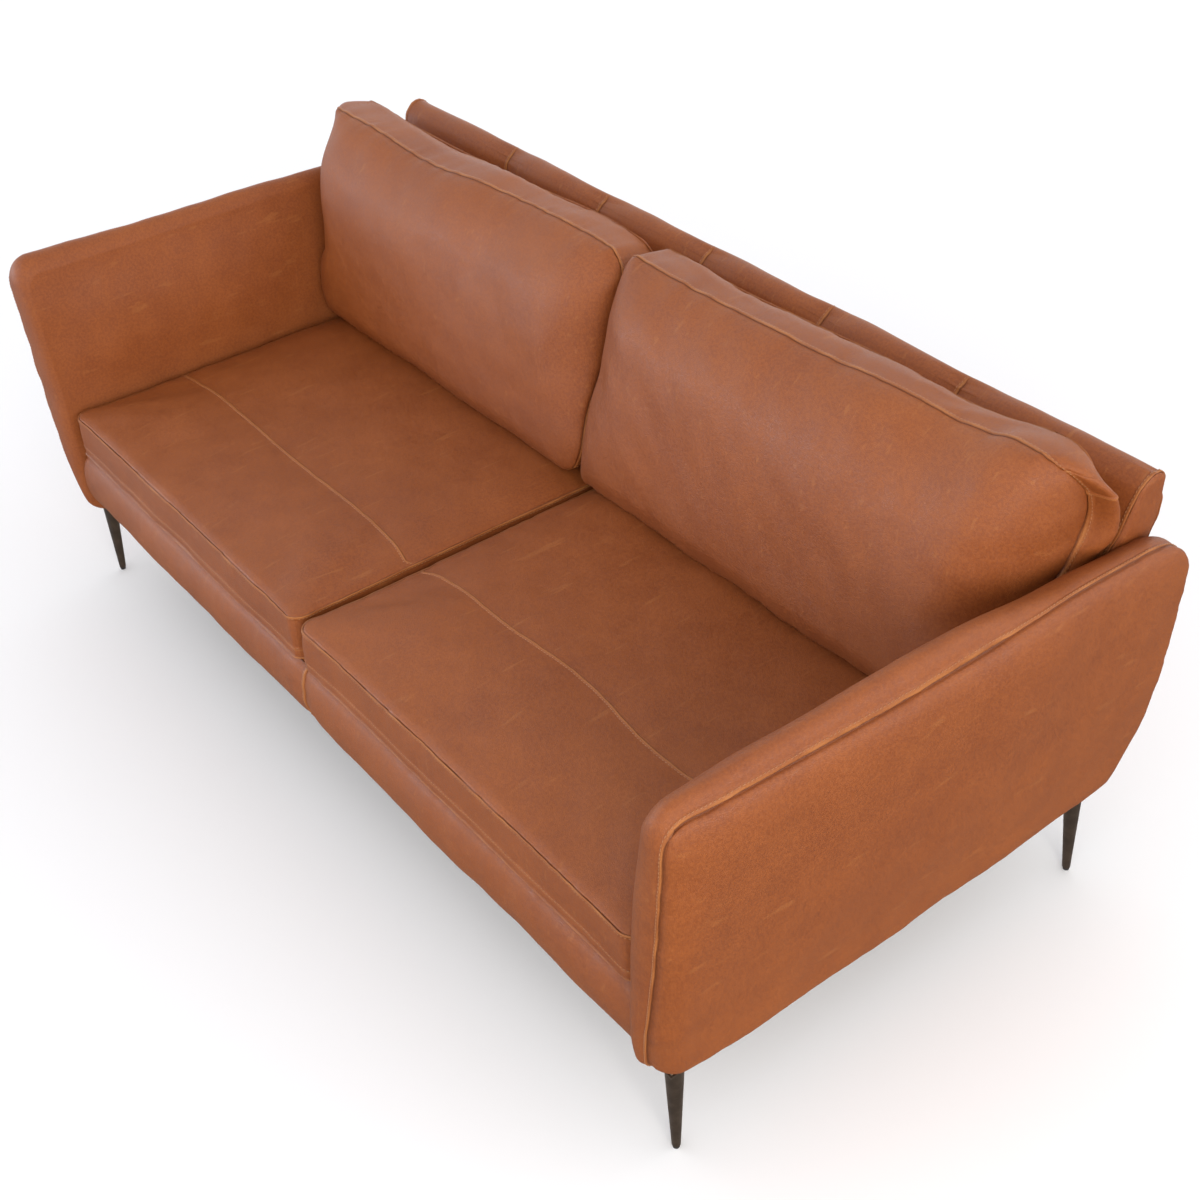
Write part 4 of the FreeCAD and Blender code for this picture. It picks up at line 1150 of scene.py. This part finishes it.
# %% [markdown]
# ## The border
# Below the seat cushions a leather roll covers the front rail. It is made in two lengths that are sewn
# together in the middle. It could be a half-round profile along a path; as a padded box it gets the same
# lapped seam and gathers as every other piece.

# %% The roll on the front rail
def border():
    """The roll: at a height h, -1 to 1, it is as deep as the root of 1 - |0.97 h|^2.1, nearly round."""
    low, high = corners("border_cover_right")
    bottom, top = low[2] + 2 * MM, high[2] - 4 * MM
    front, rear = low[1], high[1]

    def places(s, t, w):
        z = (bottom + top) / 2 + t * (top - bottom) / 2
        bulge = (rear - front) * np.sqrt(1 - np.clip(0.97 * abs(t), 0, 1) ** 2.1)
        y = rear - (1 - s) / 2 * bulge
        return np.stack([high[0] * (2 * w - 1), y, z], 1)

    sizes = (rear - front, top - bottom, 2 * high[0])
    box = PaddedBox("border", sizes, (6, 12, 150), places, seed=81)
    middle = sizes[2] / 2
    box.refine({2: (middle,)}, 8 * MM)
    box.give = np.where(box.on_band, 1.0, 0.2)
    frontal = np.where(box.on_band & (box.u < 0.7 * sizes[0]), 1.0, 0)
    ahead = box.depth - middle
    box.cross_lap(frontal, ahead)
    box.lift -= frontal * 5 * MM * bump(ahead, 22 * MM)
    box.lift += frontal * ripples(box.v, abs(ahead), box.rng, 1.2 * MM, 30 * MM)
    box.lift += frontal * ripples(box.depth, sizes[1] - box.v, box.rng, 1.0 * MM, 40 * MM, 14)
    box.worn += frontal * np.where(ahead < 0, bump(ahead + 1.6 * MM, 2.6 * MM), 0)
    # Painted shade in the groove beside the middle seam's lip.
    box.painted_shade += frontal * np.where(ahead > 0, 0.7 * bump(ahead, 1.4 * MM), 0)
    box.settle(1.5 * MM)
    c = np.argmin(abs(box.depth_lines() - middle + STITCH_LINE))
    return box.piece(cognac), [box.sewn(box.skin.row[0, 1:-1, c])]


roll, rows = border()
dress_cushion(roll, rows, "sofa_frame", ["border_cover_left", "border_cover_right", "border_padding"])


# %% [markdown]
# ## The rear panel
# From behind, the sofa is closed by three flat lengths of leather with a thin lining, so they are only
# slightly padded. Their outer edges are folded under and stitched down, and two upright lapped seams join
# them. One plain sheet would show its raw edge beside the arms, so it is the padded box once more, very
# thin, with its u along the sofa.

# %% The rear panel
def rear_places(low, high):
    """Places of the rear panel: a thin slab as wide as the back is at each height, crowned by 3 mm."""
    bottom, top = low[2] + 3 * MM, high[2] - 22 * MM
    inside, outside = low[1] - 1 * MM, high[1] + 2.5 * MM

    def places(s, t, w):
        z = (top + bottom) / 2 + t * (top - bottom) / 2
        half = np.interp(z, BACK_HEIGHTS, BACK_HALF_WIDTHS) + 3 * MM
        padded = 3 * MM * crown(s, t, 14) * (w == 1)
        x, v = rounded(s, t, half, (top - bottom) / 2, 22 * MM)
        return np.stack([x, inside + (outside - inside) * w + padded, (top + bottom) / 2 + v], 1)

    return places


def rear_panel():
    """Draws the rear panel, laps its two upright seams and stitches those and its four edges."""
    low, high = corners("back_cover_rear")
    sizes = (high[0] - low[0], high[2] - low[2], 9 * MM)
    places = rear_places(low, high)
    box = PaddedBox("rear_panel", sizes, (110, 36, 2), places, True, seed=91)
    seams = (sizes[0] / 2 - CHANNEL, sizes[0] / 2 + CHANNEL)
    box.refine({0: seams}, 9 * MM)
    box.redraw(places)
    box.give = np.where(box.on_face, 0.6, 0.0)
    box.lap(box.from_face, box.on_face, 0.4 * MM)
    rows = []
    for seam in seams:
        ahead = box.u - seam
        sewn = box.on_face * smooth(box.edge_v / (4 * MM))
        box.cross_lap(sewn, ahead, 0.7)
        box.lift += sewn * ripples(box.v, abs(ahead), box.rng, 0.5 * MM)
        box.worn += sewn * bump(ahead + 1.5 * MM, 2.2 * MM)
        # Painted shade in the groove beside each seam's lip.
        box.painted_shade += sewn * (ahead > 0) * 0.5 * bump(ahead, 1.0 * MM)
    box.settle(1.2 * MM)
    u_line, v_line = box.u[box.skin.row[:, 0, -1]], box.v[box.skin.row[0, :, -1]]
    for at in (STITCH_LINE, seams[0] - STITCH_LINE, seams[1] - STITCH_LINE, sizes[0] - STITCH_LINE):
        rows.append(box.sewn(box.skin.row[np.argmin(abs(u_line - at)), 4:-4, -1]))
    for at in (STITCH_LINE, sizes[1] - STITCH_LINE):
        rows.append(box.sewn(box.skin.row[4:-4, np.argmin(abs(v_line - at)), -1]))
    return box.piece(cognac), rows


panel, rows = rear_panel()
dress_cushion(panel, rows, "sofa_frame", ["back_cover_rear"])


# %% [markdown]
# ## Zips
# Every loose cushion has a zip, in its rear where it doesn't show, so that the cover can be taken off. A zip
# is a woven tape with two rows of moulded teeth that hook into each other; the slider comes ready made with
# the frame. One tooth is an eight-sided pebble, and each row is that pebble placed again and again. A zip is
# seen only when a cushion is moved, so a tooth has few faces; a painted pattern would look flat even then.

# %% Tape and teeth
def tooth_shape(length=2.6 * MM, width=1.5 * MM, height=1.7 * MM):
    """Three rings of an octagon: full at the bottom and the middle, and two thirds as large at the top."""
    angle = np.pi / 8 + np.pi / 4 * np.arange(8)
    ring = np.stack([width / 2 * np.cos(angle), length / 2 * np.sin(angle)], 1) / np.cos(np.pi / 8)
    levels = ((0.0, 1.0), (0.65 * height, 1.0), (height, 0.66))
    points = np.concatenate([np.column_stack([ring * size, np.full(8, level)]) for level, size in levels])
    k = np.arange(8)
    sides = [np.stack([k, (k + 1) % 8, (k + 1) % 8 + 8, k + 8], 1) + 8 * level for level in (0, 1)]
    cap = np.array([[0, 1, 2, 3], [0, 3, 4, 7], [4, 5, 6, 7]])
    return points, np.concatenate(sides + [cap[:, ::-1], cap + 16])


def zip_rows(half):
    """Both rows of teeth along x, in a frame of (along, across, out): each row is half a tooth off the middle
    and the two are half a pitch apart."""
    shape, faces = tooth_shape()
    pitch = 3.0 * MM
    places = []
    for row in (-1, 1):
        x = np.arange(-half + (1 + row) * pitch / 4, half, pitch)
        places.append(np.stack([x, np.full(len(x), row * 0.75 * MM), np.zeros(len(x))], 1))
    places = np.concatenate(places)
    points = (places[:, None] + shape[None]).reshape(-1, 3)
    return points, (faces[None] + (np.arange(len(places)) * len(shape))[:, None, None]).reshape(-1, 4)


def tape(half):
    """A flat band 24 mm wide and 0.7 mm thick. On either side of its middle runs a cord, 0.5 mm higher, as
    a bell."""
    x = np.linspace(-half, half, 131)
    across = np.array([-12, -11.6, -9, -6, -4, -2.6, -1.4, 0, 1.4, 2.6, 4, 6, 9, 11.6, 12]) * MM
    top = 0.7 * MM + 0.5 * MM * bump(abs(across) - 2.2 * MM, 1.0 * MM)
    ring_across = np.concatenate([across, across[::-1]])
    ring_out = np.concatenate([top, np.zeros(len(across))])
    count = len(ring_across)
    points = np.stack([np.repeat(x, count), np.tile(ring_across, len(x)), np.tile(ring_out, len(x))], 1)
    k = np.arange(count)
    ring = np.stack([k, k + count, (k + 1) % count + count, (k + 1) % count], 1)
    faces = (ring[None] + (np.arange(len(x) - 1) * count)[:, None, None]).reshape(-1, 4)
    last = len(across) - 1
    j = np.arange(last)
    cap = np.stack([j, j + 1, 2 * last - j, 2 * last + 1 - j], 1)
    return points, np.concatenate([faces, cap, cap[:, ::-1] + (len(x) - 1) * count])


def place_zip(local, side, middle, lean):
    """Puts (along, across, out) points on a face through `middle` that leans back by `lean` a metre."""
    up = np.array([0, lean, 1]) / math.hypot(1, lean)
    out = np.array([0, 1, -lean]) / math.hypot(1, lean)
    return np.array(middle) + local[:, :1] * (side, 0, 0) + local[:, 1:2] * up + local[:, 2:3] * out


# %% [markdown]
# ## Cloth, metal and wood
# The parts that came with the frame are the right shape already, so they only need their finishes. Four
# effects are shared: a plain weave, the fibres of felt, the figure of wood, and the mottle of a metal
# finish. Each is a node group that gives out masks and heights, and every material places them with its
# own colours and its own sense of direction.

# %% Shared effects
def build_weave():
    """A plain weave: where the two threads' sines have the same sign the first thread is on top, and its
    height is the size of its own sine; elsewhere it is the other thread's."""
    inputs = [("Vector", "Vector", None), ("Threads per metre", "Float", 900.0)]
    group, given, result = new_group("plain_weave", inputs, [("Height", "Float"), ("Warp", "Float")])
    turns = math_node(group, "MULTIPLY", given.outputs["Threads per metre"], math.pi)
    split = node(group, "SeparateXYZ", {0: given.outputs["Vector"]})
    waves = [math_node(group, "SINE", math_node(group, "MULTIPLY", split.outputs[k], turns)) for k in (0, 1)]
    product = math_node(group, "MULTIPLY", *waves)
    warp = math_node(group, "GREATER_THAN", product, 0.0)
    first, second = (math_node(group, "ABSOLUTE", wave) for wave in waves)
    spread = math_node(group, "SUBTRACT", first, second)
    height = math_node(group, "MULTIPLY_ADD", warp, spread, second)
    group.links.new(height, result.inputs["Height"])
    group.links.new(warp, result.inputs["Warp"])
    return group


def build_fibres():
    """Tangled fibres: fine noise, stretched by coarser noise that bends the place it is read at."""
    inputs = [("Vector", "Vector", None), ("Scale", "Float", 900.0)]
    group, given, result = new_group("tangled_fibres", inputs, [("Fibres", "Float")])
    bend = node(group, "TexNoise", {"Vector": given.outputs["Vector"], "Scale": 140.0, "Detail": 2.0})
    bent = node(group, "VectorMath", {0: bend.outputs["Color"], "Scale": 0.02}, operation="SCALE")
    place = node(group, "VectorMath", {0: given.outputs["Vector"], 1: bent.outputs[0]}, operation="ADD")
    scale = given.outputs["Scale"]
    fine = node(group, "TexNoise", {"Vector": place.outputs[0], "Scale": scale, "Detail": 4.0})
    group.links.new(ramp(group, fine.outputs["Fac"], 0.3, 0.7), result.inputs["Fibres"])
    return group


def build_figure():
    """Wood with its grain along X: bands of early and late growth that wander, and short dark pores."""
    inputs = [("Vector", "Vector", None), ("Bands per metre", "Float", 90.0)]
    group, given, result = new_group("wood_figure", inputs, [("Figure", "Float"), ("Pores", "Float")])
    long = node(group, "Mapping", {"Vector": given.outputs["Vector"], "Scale": (0.06, 1, 1)}).outputs[0]
    drift = node(group, "TexNoise", {"Vector": long, "Scale": 16.0, "Detail": 3.0})
    shift = node(group, "VectorMath", {0: drift.outputs["Color"], "Scale": 0.05}, operation="SCALE")
    place = node(group, "VectorMath", {0: long, 1: shift.outputs[0]}, operation="ADD").outputs[0]
    bands = given.outputs["Bands per metre"]
    rings = node(group, "TexNoise", {"Vector": place, "Scale": bands, "Detail": 2.0})
    pore = node(group, "TexNoise", {"Vector": long, "Scale": 1400.0, "Detail": 1.0})
    group.links.new(ramp(group, rings.outputs["Fac"], 0.32, 0.68), result.inputs["Figure"])
    group.links.new(ramp(group, pore.outputs["Fac"], 0.60, 0.72), result.inputs["Pores"])
    return group


def build_mottle():
    """A metal finish: broad cloudiness, fine grit, and a height for the grit."""
    inputs = [("Vector", "Vector", None), ("Grit per metre", "Float", 1500.0)]
    group, given, result = new_group("metal_mottle", inputs, [("Clouds", "Float"), ("Grit", "Float")])
    place = given.outputs["Vector"]
    cloud = node(group, "TexNoise", {"Vector": place, "Scale": 45.0, "Detail": 4.0})
    grit = node(group, "TexNoise", {"Vector": place, "Scale": given.outputs["Grit per metre"], "Detail": 2.0})
    group.links.new(ramp(group, cloud.outputs["Fac"], 0.3, 0.7), result.inputs["Clouds"])
    group.links.new(ramp(group, grit.outputs["Fac"], 0.35, 0.65), result.inputs["Grit"])
    return group


weave_group, fibre_group = build_weave(), build_fibres()
figure_group, mottle_group = build_figure(), build_mottle()


# %% Finishes for the frame's own parts
def metal(name, light, dark, rough, metallic=1.0, grit=1500.0, depth=0.00004):
    """Mottled between two colours, rougher where it is darker, with a fine grit in its surface."""
    material, tree, shader, place = begin(name)
    mottle = place_group(tree, mottle_group, Vector=place, Grit_per_metre=grit)
    clouds = math_node(tree, "MULTIPLY", mottle["Clouds"], 0.65)
    amount = math_node(tree, "MULTIPLY_ADD", mottle["Grit"], 0.35, clouds)
    tree.links.new(mixed(tree, amount, (*dark, 1), (*light, 1)), shader.inputs["Base Color"])
    tree.links.new(ramp(tree, mottle["Clouds"], 0, 1, rough + 0.08, rough - 0.06), shader.inputs["Roughness"])
    relief(tree, shader, mottle["Grit"], depth)
    shader.inputs["Metallic"].default_value = metallic
    return material


def timber(name, light, dark, turn):
    """Planed wood with its grain turned to lie along the piece."""
    material, tree, shader, place = begin(name, turn)
    figure = place_group(tree, figure_group, Vector=place, Bands_per_metre=120.0)
    base = mixed(tree, figure["Figure"], (*dark, 1), (*light, 1))
    pores = math_node(tree, "MULTIPLY", figure["Pores"], 0.45)
    tree.links.new(mixed(tree, pores, base, (0.10, 0.05, 0.02, 1)), shader.inputs["Base Color"])
    tree.links.new(ramp(tree, figure["Figure"], 0, 1, 0.62, 0.52), shader.inputs["Roughness"])
    relief(tree, shader, math_node(tree, "SUBTRACT", 1.0, figure["Pores"]), 0.0001)
    return material


def plywood(name, light, dark):
    """Sheets that lie square to X: veneer figure on their faces, and on their edges plies 1.5 mm thick that
    are light and dark by turns. The surface's direction tells the two apart."""
    material, tree, shader, place = begin(name)
    upright = node(tree, "Mapping", {"Vector": place, "Rotation": (0, math.pi / 2, 0)}).outputs[0]
    figure = place_group(tree, figure_group, Vector=upright, Bands_per_metre=70.0)
    veneer = mixed(tree, figure["Figure"], (*dark, 1), (*light, 1))
    split = node(tree, "SeparateXYZ", {0: place})
    leaning = math_node(tree, "MULTIPLY_ADD", split.outputs["Z"], -0.111, split.outputs["X"])
    plies = math_node(tree, "SINE", math_node(tree, "MULTIPLY", leaning, math.pi / 0.0015))
    edge = mixed(tree, ramp(tree, plies, -0.3, 0.3), (*(0.55 * c for c in dark), 1), (*light, 1))
    facing = node(tree, "SeparateXYZ", {0: node(tree, "NewGeometry").outputs["Normal"]})
    on_face = math_node(tree, "GREATER_THAN", math_node(tree, "ABSOLUTE", facing.outputs["X"]), 0.5)
    tree.links.new(mixed(tree, on_face, edge, veneer), shader.inputs["Base Color"])
    tree.links.new(ramp(tree, figure["Figure"], 0, 1, 0.66, 0.56), shader.inputs["Roughness"])
    relief(tree, shader, figure["Pores"], 0.00008)
    return material


def woven(name, light, dark, threads, turn=(0, 0, 0), depth=0.0003, rough=0.85):
    """Plain-woven cloth: warp and weft take the two colours, and fibres break both up a little."""
    material, tree, shader, place = begin(name, turn)
    weave = place_group(tree, weave_group, Vector=place, Threads_per_metre=threads)
    fibres = place_group(tree, fibre_group, Vector=place, Scale=1600.0)["Fibres"]
    amount = math_node(tree, "MULTIPLY_ADD", fibres, 0.4, math_node(tree, "MULTIPLY", weave["Warp"], 0.6))
    shade = math_node(tree, "MULTIPLY", math_node(tree, "SUBTRACT", 1.0, weave["Height"]), 0.55)
    base = mixed(tree, amount, (*dark, 1), (*light, 1))
    tree.links.new(mixed(tree, shade, base, (*(0.25 * c for c in dark), 1)), shader.inputs["Base Color"])
    tree.links.new(ramp(tree, fibres, 0, 1, rough + 0.06, rough - 0.06), shader.inputs["Roughness"])
    relief(tree, shader, weave["Height"], depth)
    shader.inputs["Sheen Weight"].default_value = 0.15
    return material


def felted(name, light, dark):
    """Needled felt: nothing but fibres, in two colours."""
    material, tree, shader, place = begin(name)
    fibres = place_group(tree, fibre_group, Vector=place, Scale=700.0)["Fibres"]
    flecks = place_group(tree, fibre_group, Vector=place, Scale=160.0)["Fibres"]
    amount = math_node(tree, "MULTIPLY_ADD", flecks, 0.4, math_node(tree, "MULTIPLY", fibres, 0.6))
    tree.links.new(mixed(tree, amount, (*dark, 1), (*light, 1)), shader.inputs["Base Color"])
    tree.links.new(ramp(tree, fibres, 0, 1, 0.95, 0.85), shader.inputs["Roughness"])
    relief(tree, shader, fibres, 0.0006, 0.7)
    return material


# %% Dressing the frame's own parts
QUARTER_TURN = math.pi / 2
BEECH, BEECH_DARK = (0.56, 0.36, 0.20), (0.40, 0.23, 0.11)
finishes = (
    (metal("bronzed_steel", (0.115, 0.088, 0.066), (0.060, 0.045, 0.034), 0.36, 0.75, 2600.0),
     ["leg_%s_%s" % (end, word) for end in ("front", "rear") for word, _ in SIDES]),
    (metal("black_nylon", (0.030, 0.030, 0.032), (0.014, 0.014, 0.015), 0.48, 0.0, 3200.0), ["leg_glides"]),
    (metal("zinc_plate", (0.72, 0.72, 0.70), (0.46, 0.47, 0.49), 0.34),
     ["leg_screws", "back_screws", "arm_bolts"]),
    (metal("spring_wire", (0.20, 0.21, 0.23), (0.09, 0.10, 0.11), 0.38),
     ["seat_springs_left", "seat_springs_right", "spring_clips"]),
    (metal("zip_metal", (0.34, 0.29, 0.23), (0.20, 0.17, 0.13), 0.30),
     ["%s_cushion_zip_pull_%s" % (kind, word) for kind in ("seat", "back") for word, _ in SIDES]),
    (timber("beech_along_x", BEECH, BEECH_DARK, (0, 0, 0)),
     ["front_rail", "spring_rail", "back_rail", "back_top_rail"]),
    (timber("beech_along_y", BEECH, BEECH_DARK, (0, 0, QUARTER_TURN)),
     ["side_rail_left", "side_rail_right", "centre_rail", "arm_rail_left", "arm_rail_right"]),
    (timber("beech_upright", BEECH, BEECH_DARK, (0, QUARTER_TURN, 0)), ["corner_blocks"]),
    (plywood("birch_plywood", (0.66, 0.50, 0.32), (0.50, 0.34, 0.19)),
     ["back_ribs", "arm_panel_left", "arm_panel_right"]),
    (woven("elastic_webbing", (0.30, 0.29, 0.26), (0.10, 0.09, 0.08), 420.0, (QUARTER_TURN, 0, 0), 0.0005),
     ["back_webbing"]),
    (woven("black_lining", (0.030, 0.029, 0.030), (0.014, 0.014, 0.015), 700.0),
     ["deck_cloth", "dust_cover"]),
    (felted("grey_felt", (0.22, 0.21, 0.20), (0.08, 0.08, 0.085)), ["spring_felt"]),
)
for material, names in finishes:
    for name in names:
        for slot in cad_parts[name].material_slots:
            slot.material = material
    print(material.name, "on", len(names), "parts")

TAPE_BROWN, TAPE_DARK = (0.22, 0.13, 0.07), (0.12, 0.065, 0.033)
tape_cloth = woven("zip_tape_cloth", TAPE_BROWN, TAPE_DARK, 1500.0, (QUARTER_TURN, 0, 0), 0.0002)
teeth_finish = metal("zip_teeth", (0.30, 0.25, 0.19), (0.17, 0.14, 0.10), 0.34)
foot, rake = lean_of_back()
ZIP_SINK = 2.3 * MM          # how deep the back of the tape lies in its channel
parts = (("tape", tape(ZIP_HALF + 8 * MM), tape_cloth), ("teeth", zip_rows(ZIP_HALF), teeth_finish))
zips = (
    ("seat", SEAT_REAR_Y, ZIP_ON_SEAT, 0.0),
    ("back", foot + rake * ZIP_ON_BACK - 9 * MM, ZIP_ON_BACK, rake),
)
for word, side in SIDES:
    for kind, y, height, lean in zips:
        inwards = np.array([0, -1, lean]) / math.hypot(1, lean)
        middle = np.array([side * ZIP_MIDDLE, y, height]) + ZIP_SINK * inwards
        node_name = "%s_cushion_zip_%s" % (kind, word)
        for part, (points, faces), finish in parts:
            lifted = points + (0, 0, 0.6 * MM if part == "teeth" else 0)
            placed = place_zip(lifted, side, middle, lean)
            made = make_piece("%s_%s" % (node_name, part), placed, faces[:, ::-side], finish)
            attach(made, "%s_cushion_%s" % (kind, word))
            if part == "tape":
                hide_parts(node_name)
        print(node_name, len(faces), "faces of teeth")


# %% [markdown]
# ## Studio
# A studio is a box of white cloth: soft light comes from every side, a little warmer from the right, and it
# is the height of the cloth in the reflections that shows how a leather cushion curves. One world colour
# does this without a single wall. It is bright at the horizon, darker overhead and darkest below. A warm
# area light on the right gives the sofa a light and a shaded side. Two windows add a cool gleam to whatever
# is glossy, and nothing to matt light, which is switched off for them. The pale floor shows to the camera
# alone. It catches the sofa's shadow, but throws no white light back, which would wash the leather's colour
# out.
# The camera stands at the sofa's front right corner and looks down on it from above head height.

# %% Floor, lights and camera
def add_light(name, place, target, size, watts, colour=(1, 1, 1)):
    """A square area light of `size` metres that faces its target."""
    data = bpy.data.lights.new(name, "AREA")
    data.shape, data.size, data.energy, data.color = "SQUARE", size, watts, colour
    lamp = bpy.data.objects.new(name, data)
    lamp.location = place
    lamp.rotation_euler = (Vector(target) - Vector(place)).to_track_quat("-Z", "Y").to_euler()
    bpy.context.scene.collection.objects.link(lamp)
    return lamp


floor_mesh = bpy.data.meshes.new("floor")
floor_mesh.from_pydata([(-30, -30, 0), (30, -30, 0), (30, 30, 0), (-30, 30, 0)], [], [(0, 1, 2, 3)])
floor = bpy.data.objects.new("floor", floor_mesh)
bpy.context.scene.collection.objects.link(floor)
pale = bpy.data.materials.new("pale_floor")
pale.use_nodes = True
pale.node_tree.nodes["Principled BSDF"].inputs["Base Color"].default_value = (0.95, 0.95, 0.95, 1)
pale.node_tree.nodes["Principled BSDF"].inputs["Roughness"].default_value = 0.9
floor_mesh.materials.append(pale)
floor.visible_diffuse = floor.visible_glossy = False

world = bpy.data.worlds.new("studio")
world.use_nodes = True
sky = world.node_tree
east, north, up = node(sky, "SeparateXYZ", {0: node(sky, "TexCoord").outputs["Generated"]}).outputs
to_right = math_node(sky, "MULTIPLY_ADD", north, 0.5, math_node(sky, "MULTIPLY", east, 0.8))
horizon = mixed(sky, ramp(sky, to_right, -1.0, 1.0), (1.70, 1.72, 1.80, 1), (2.12, 2.06, 1.98, 1))
upper = mixed(sky, ramp(sky, up, 0.0, 0.9), horizon, (0.78, 0.79, 0.83, 1))
to_rear = math_node(sky, "MULTIPLY_ADD", north, 0.9, math_node(sky, "MULTIPLY", east, 0.43))
ground = mixed(sky, ramp(sky, to_rear, -0.95, -0.6), (0.42, 0.45, 0.56, 1), (0.36, 0.31, 0.28, 1))
colour = mixed(sky, ramp(sky, up, -0.22, -0.02), ground, upper)
sky.links.new(colour, sky.nodes["Background"].inputs["Color"])
sky.nodes["Background"].inputs["Strength"].default_value = 1.0
bpy.context.scene.world = world
bpy.context.scene.view_settings.view_transform = "Standard"
window = add_light("window", (-3.3, -3.6, 1.7), (0, 0, 0.6), 2.0, 160, (0.86, 0.90, 1.0))
side_window = add_light("side_window", (3.7, 1.1, 1.6), (1.0, -0.3, 0.6), 1.0, 30, (0.88, 0.92, 1.0))
window.visible_diffuse = side_window.visible_diffuse = False
add_light("key", (4.0, -1.8, 2.1), (0, 0, 0.4), 2.0, 75, (1.0, 0.95, 0.88))


def look(azimuth, elevation, roll, distance, target):
    """Where a camera stands to see the target from an azimuth and elevation, rolled about its own axis."""
    a, e, r = (math.radians(v) for v in (azimuth, elevation, roll))
    back = Vector((math.sin(a) * math.cos(e), -math.cos(a) * math.cos(e), math.sin(e)))
    right = Vector((math.cos(a), math.sin(a), 0))
    up = back.cross(right)
    right, up = right * math.cos(r) + up * math.sin(r), up * math.cos(r) - right * math.sin(r)
    turn = Matrix((right, up, back)).transposed().to_4x4()
    return Matrix.Translation(Vector(target) + back * distance) @ turn


lens = bpy.data.cameras.new("camera")
lens.lens, lens.sensor_width = 50.57, 36.0
camera = bpy.data.objects.new("camera", lens)
camera.matrix_world = look(54.56, 37.24, -3.5, 2.838, (0.262, -0.031, 0.4))
bpy.context.scene.collection.objects.link(camera)
bpy.context.scene.camera = camera
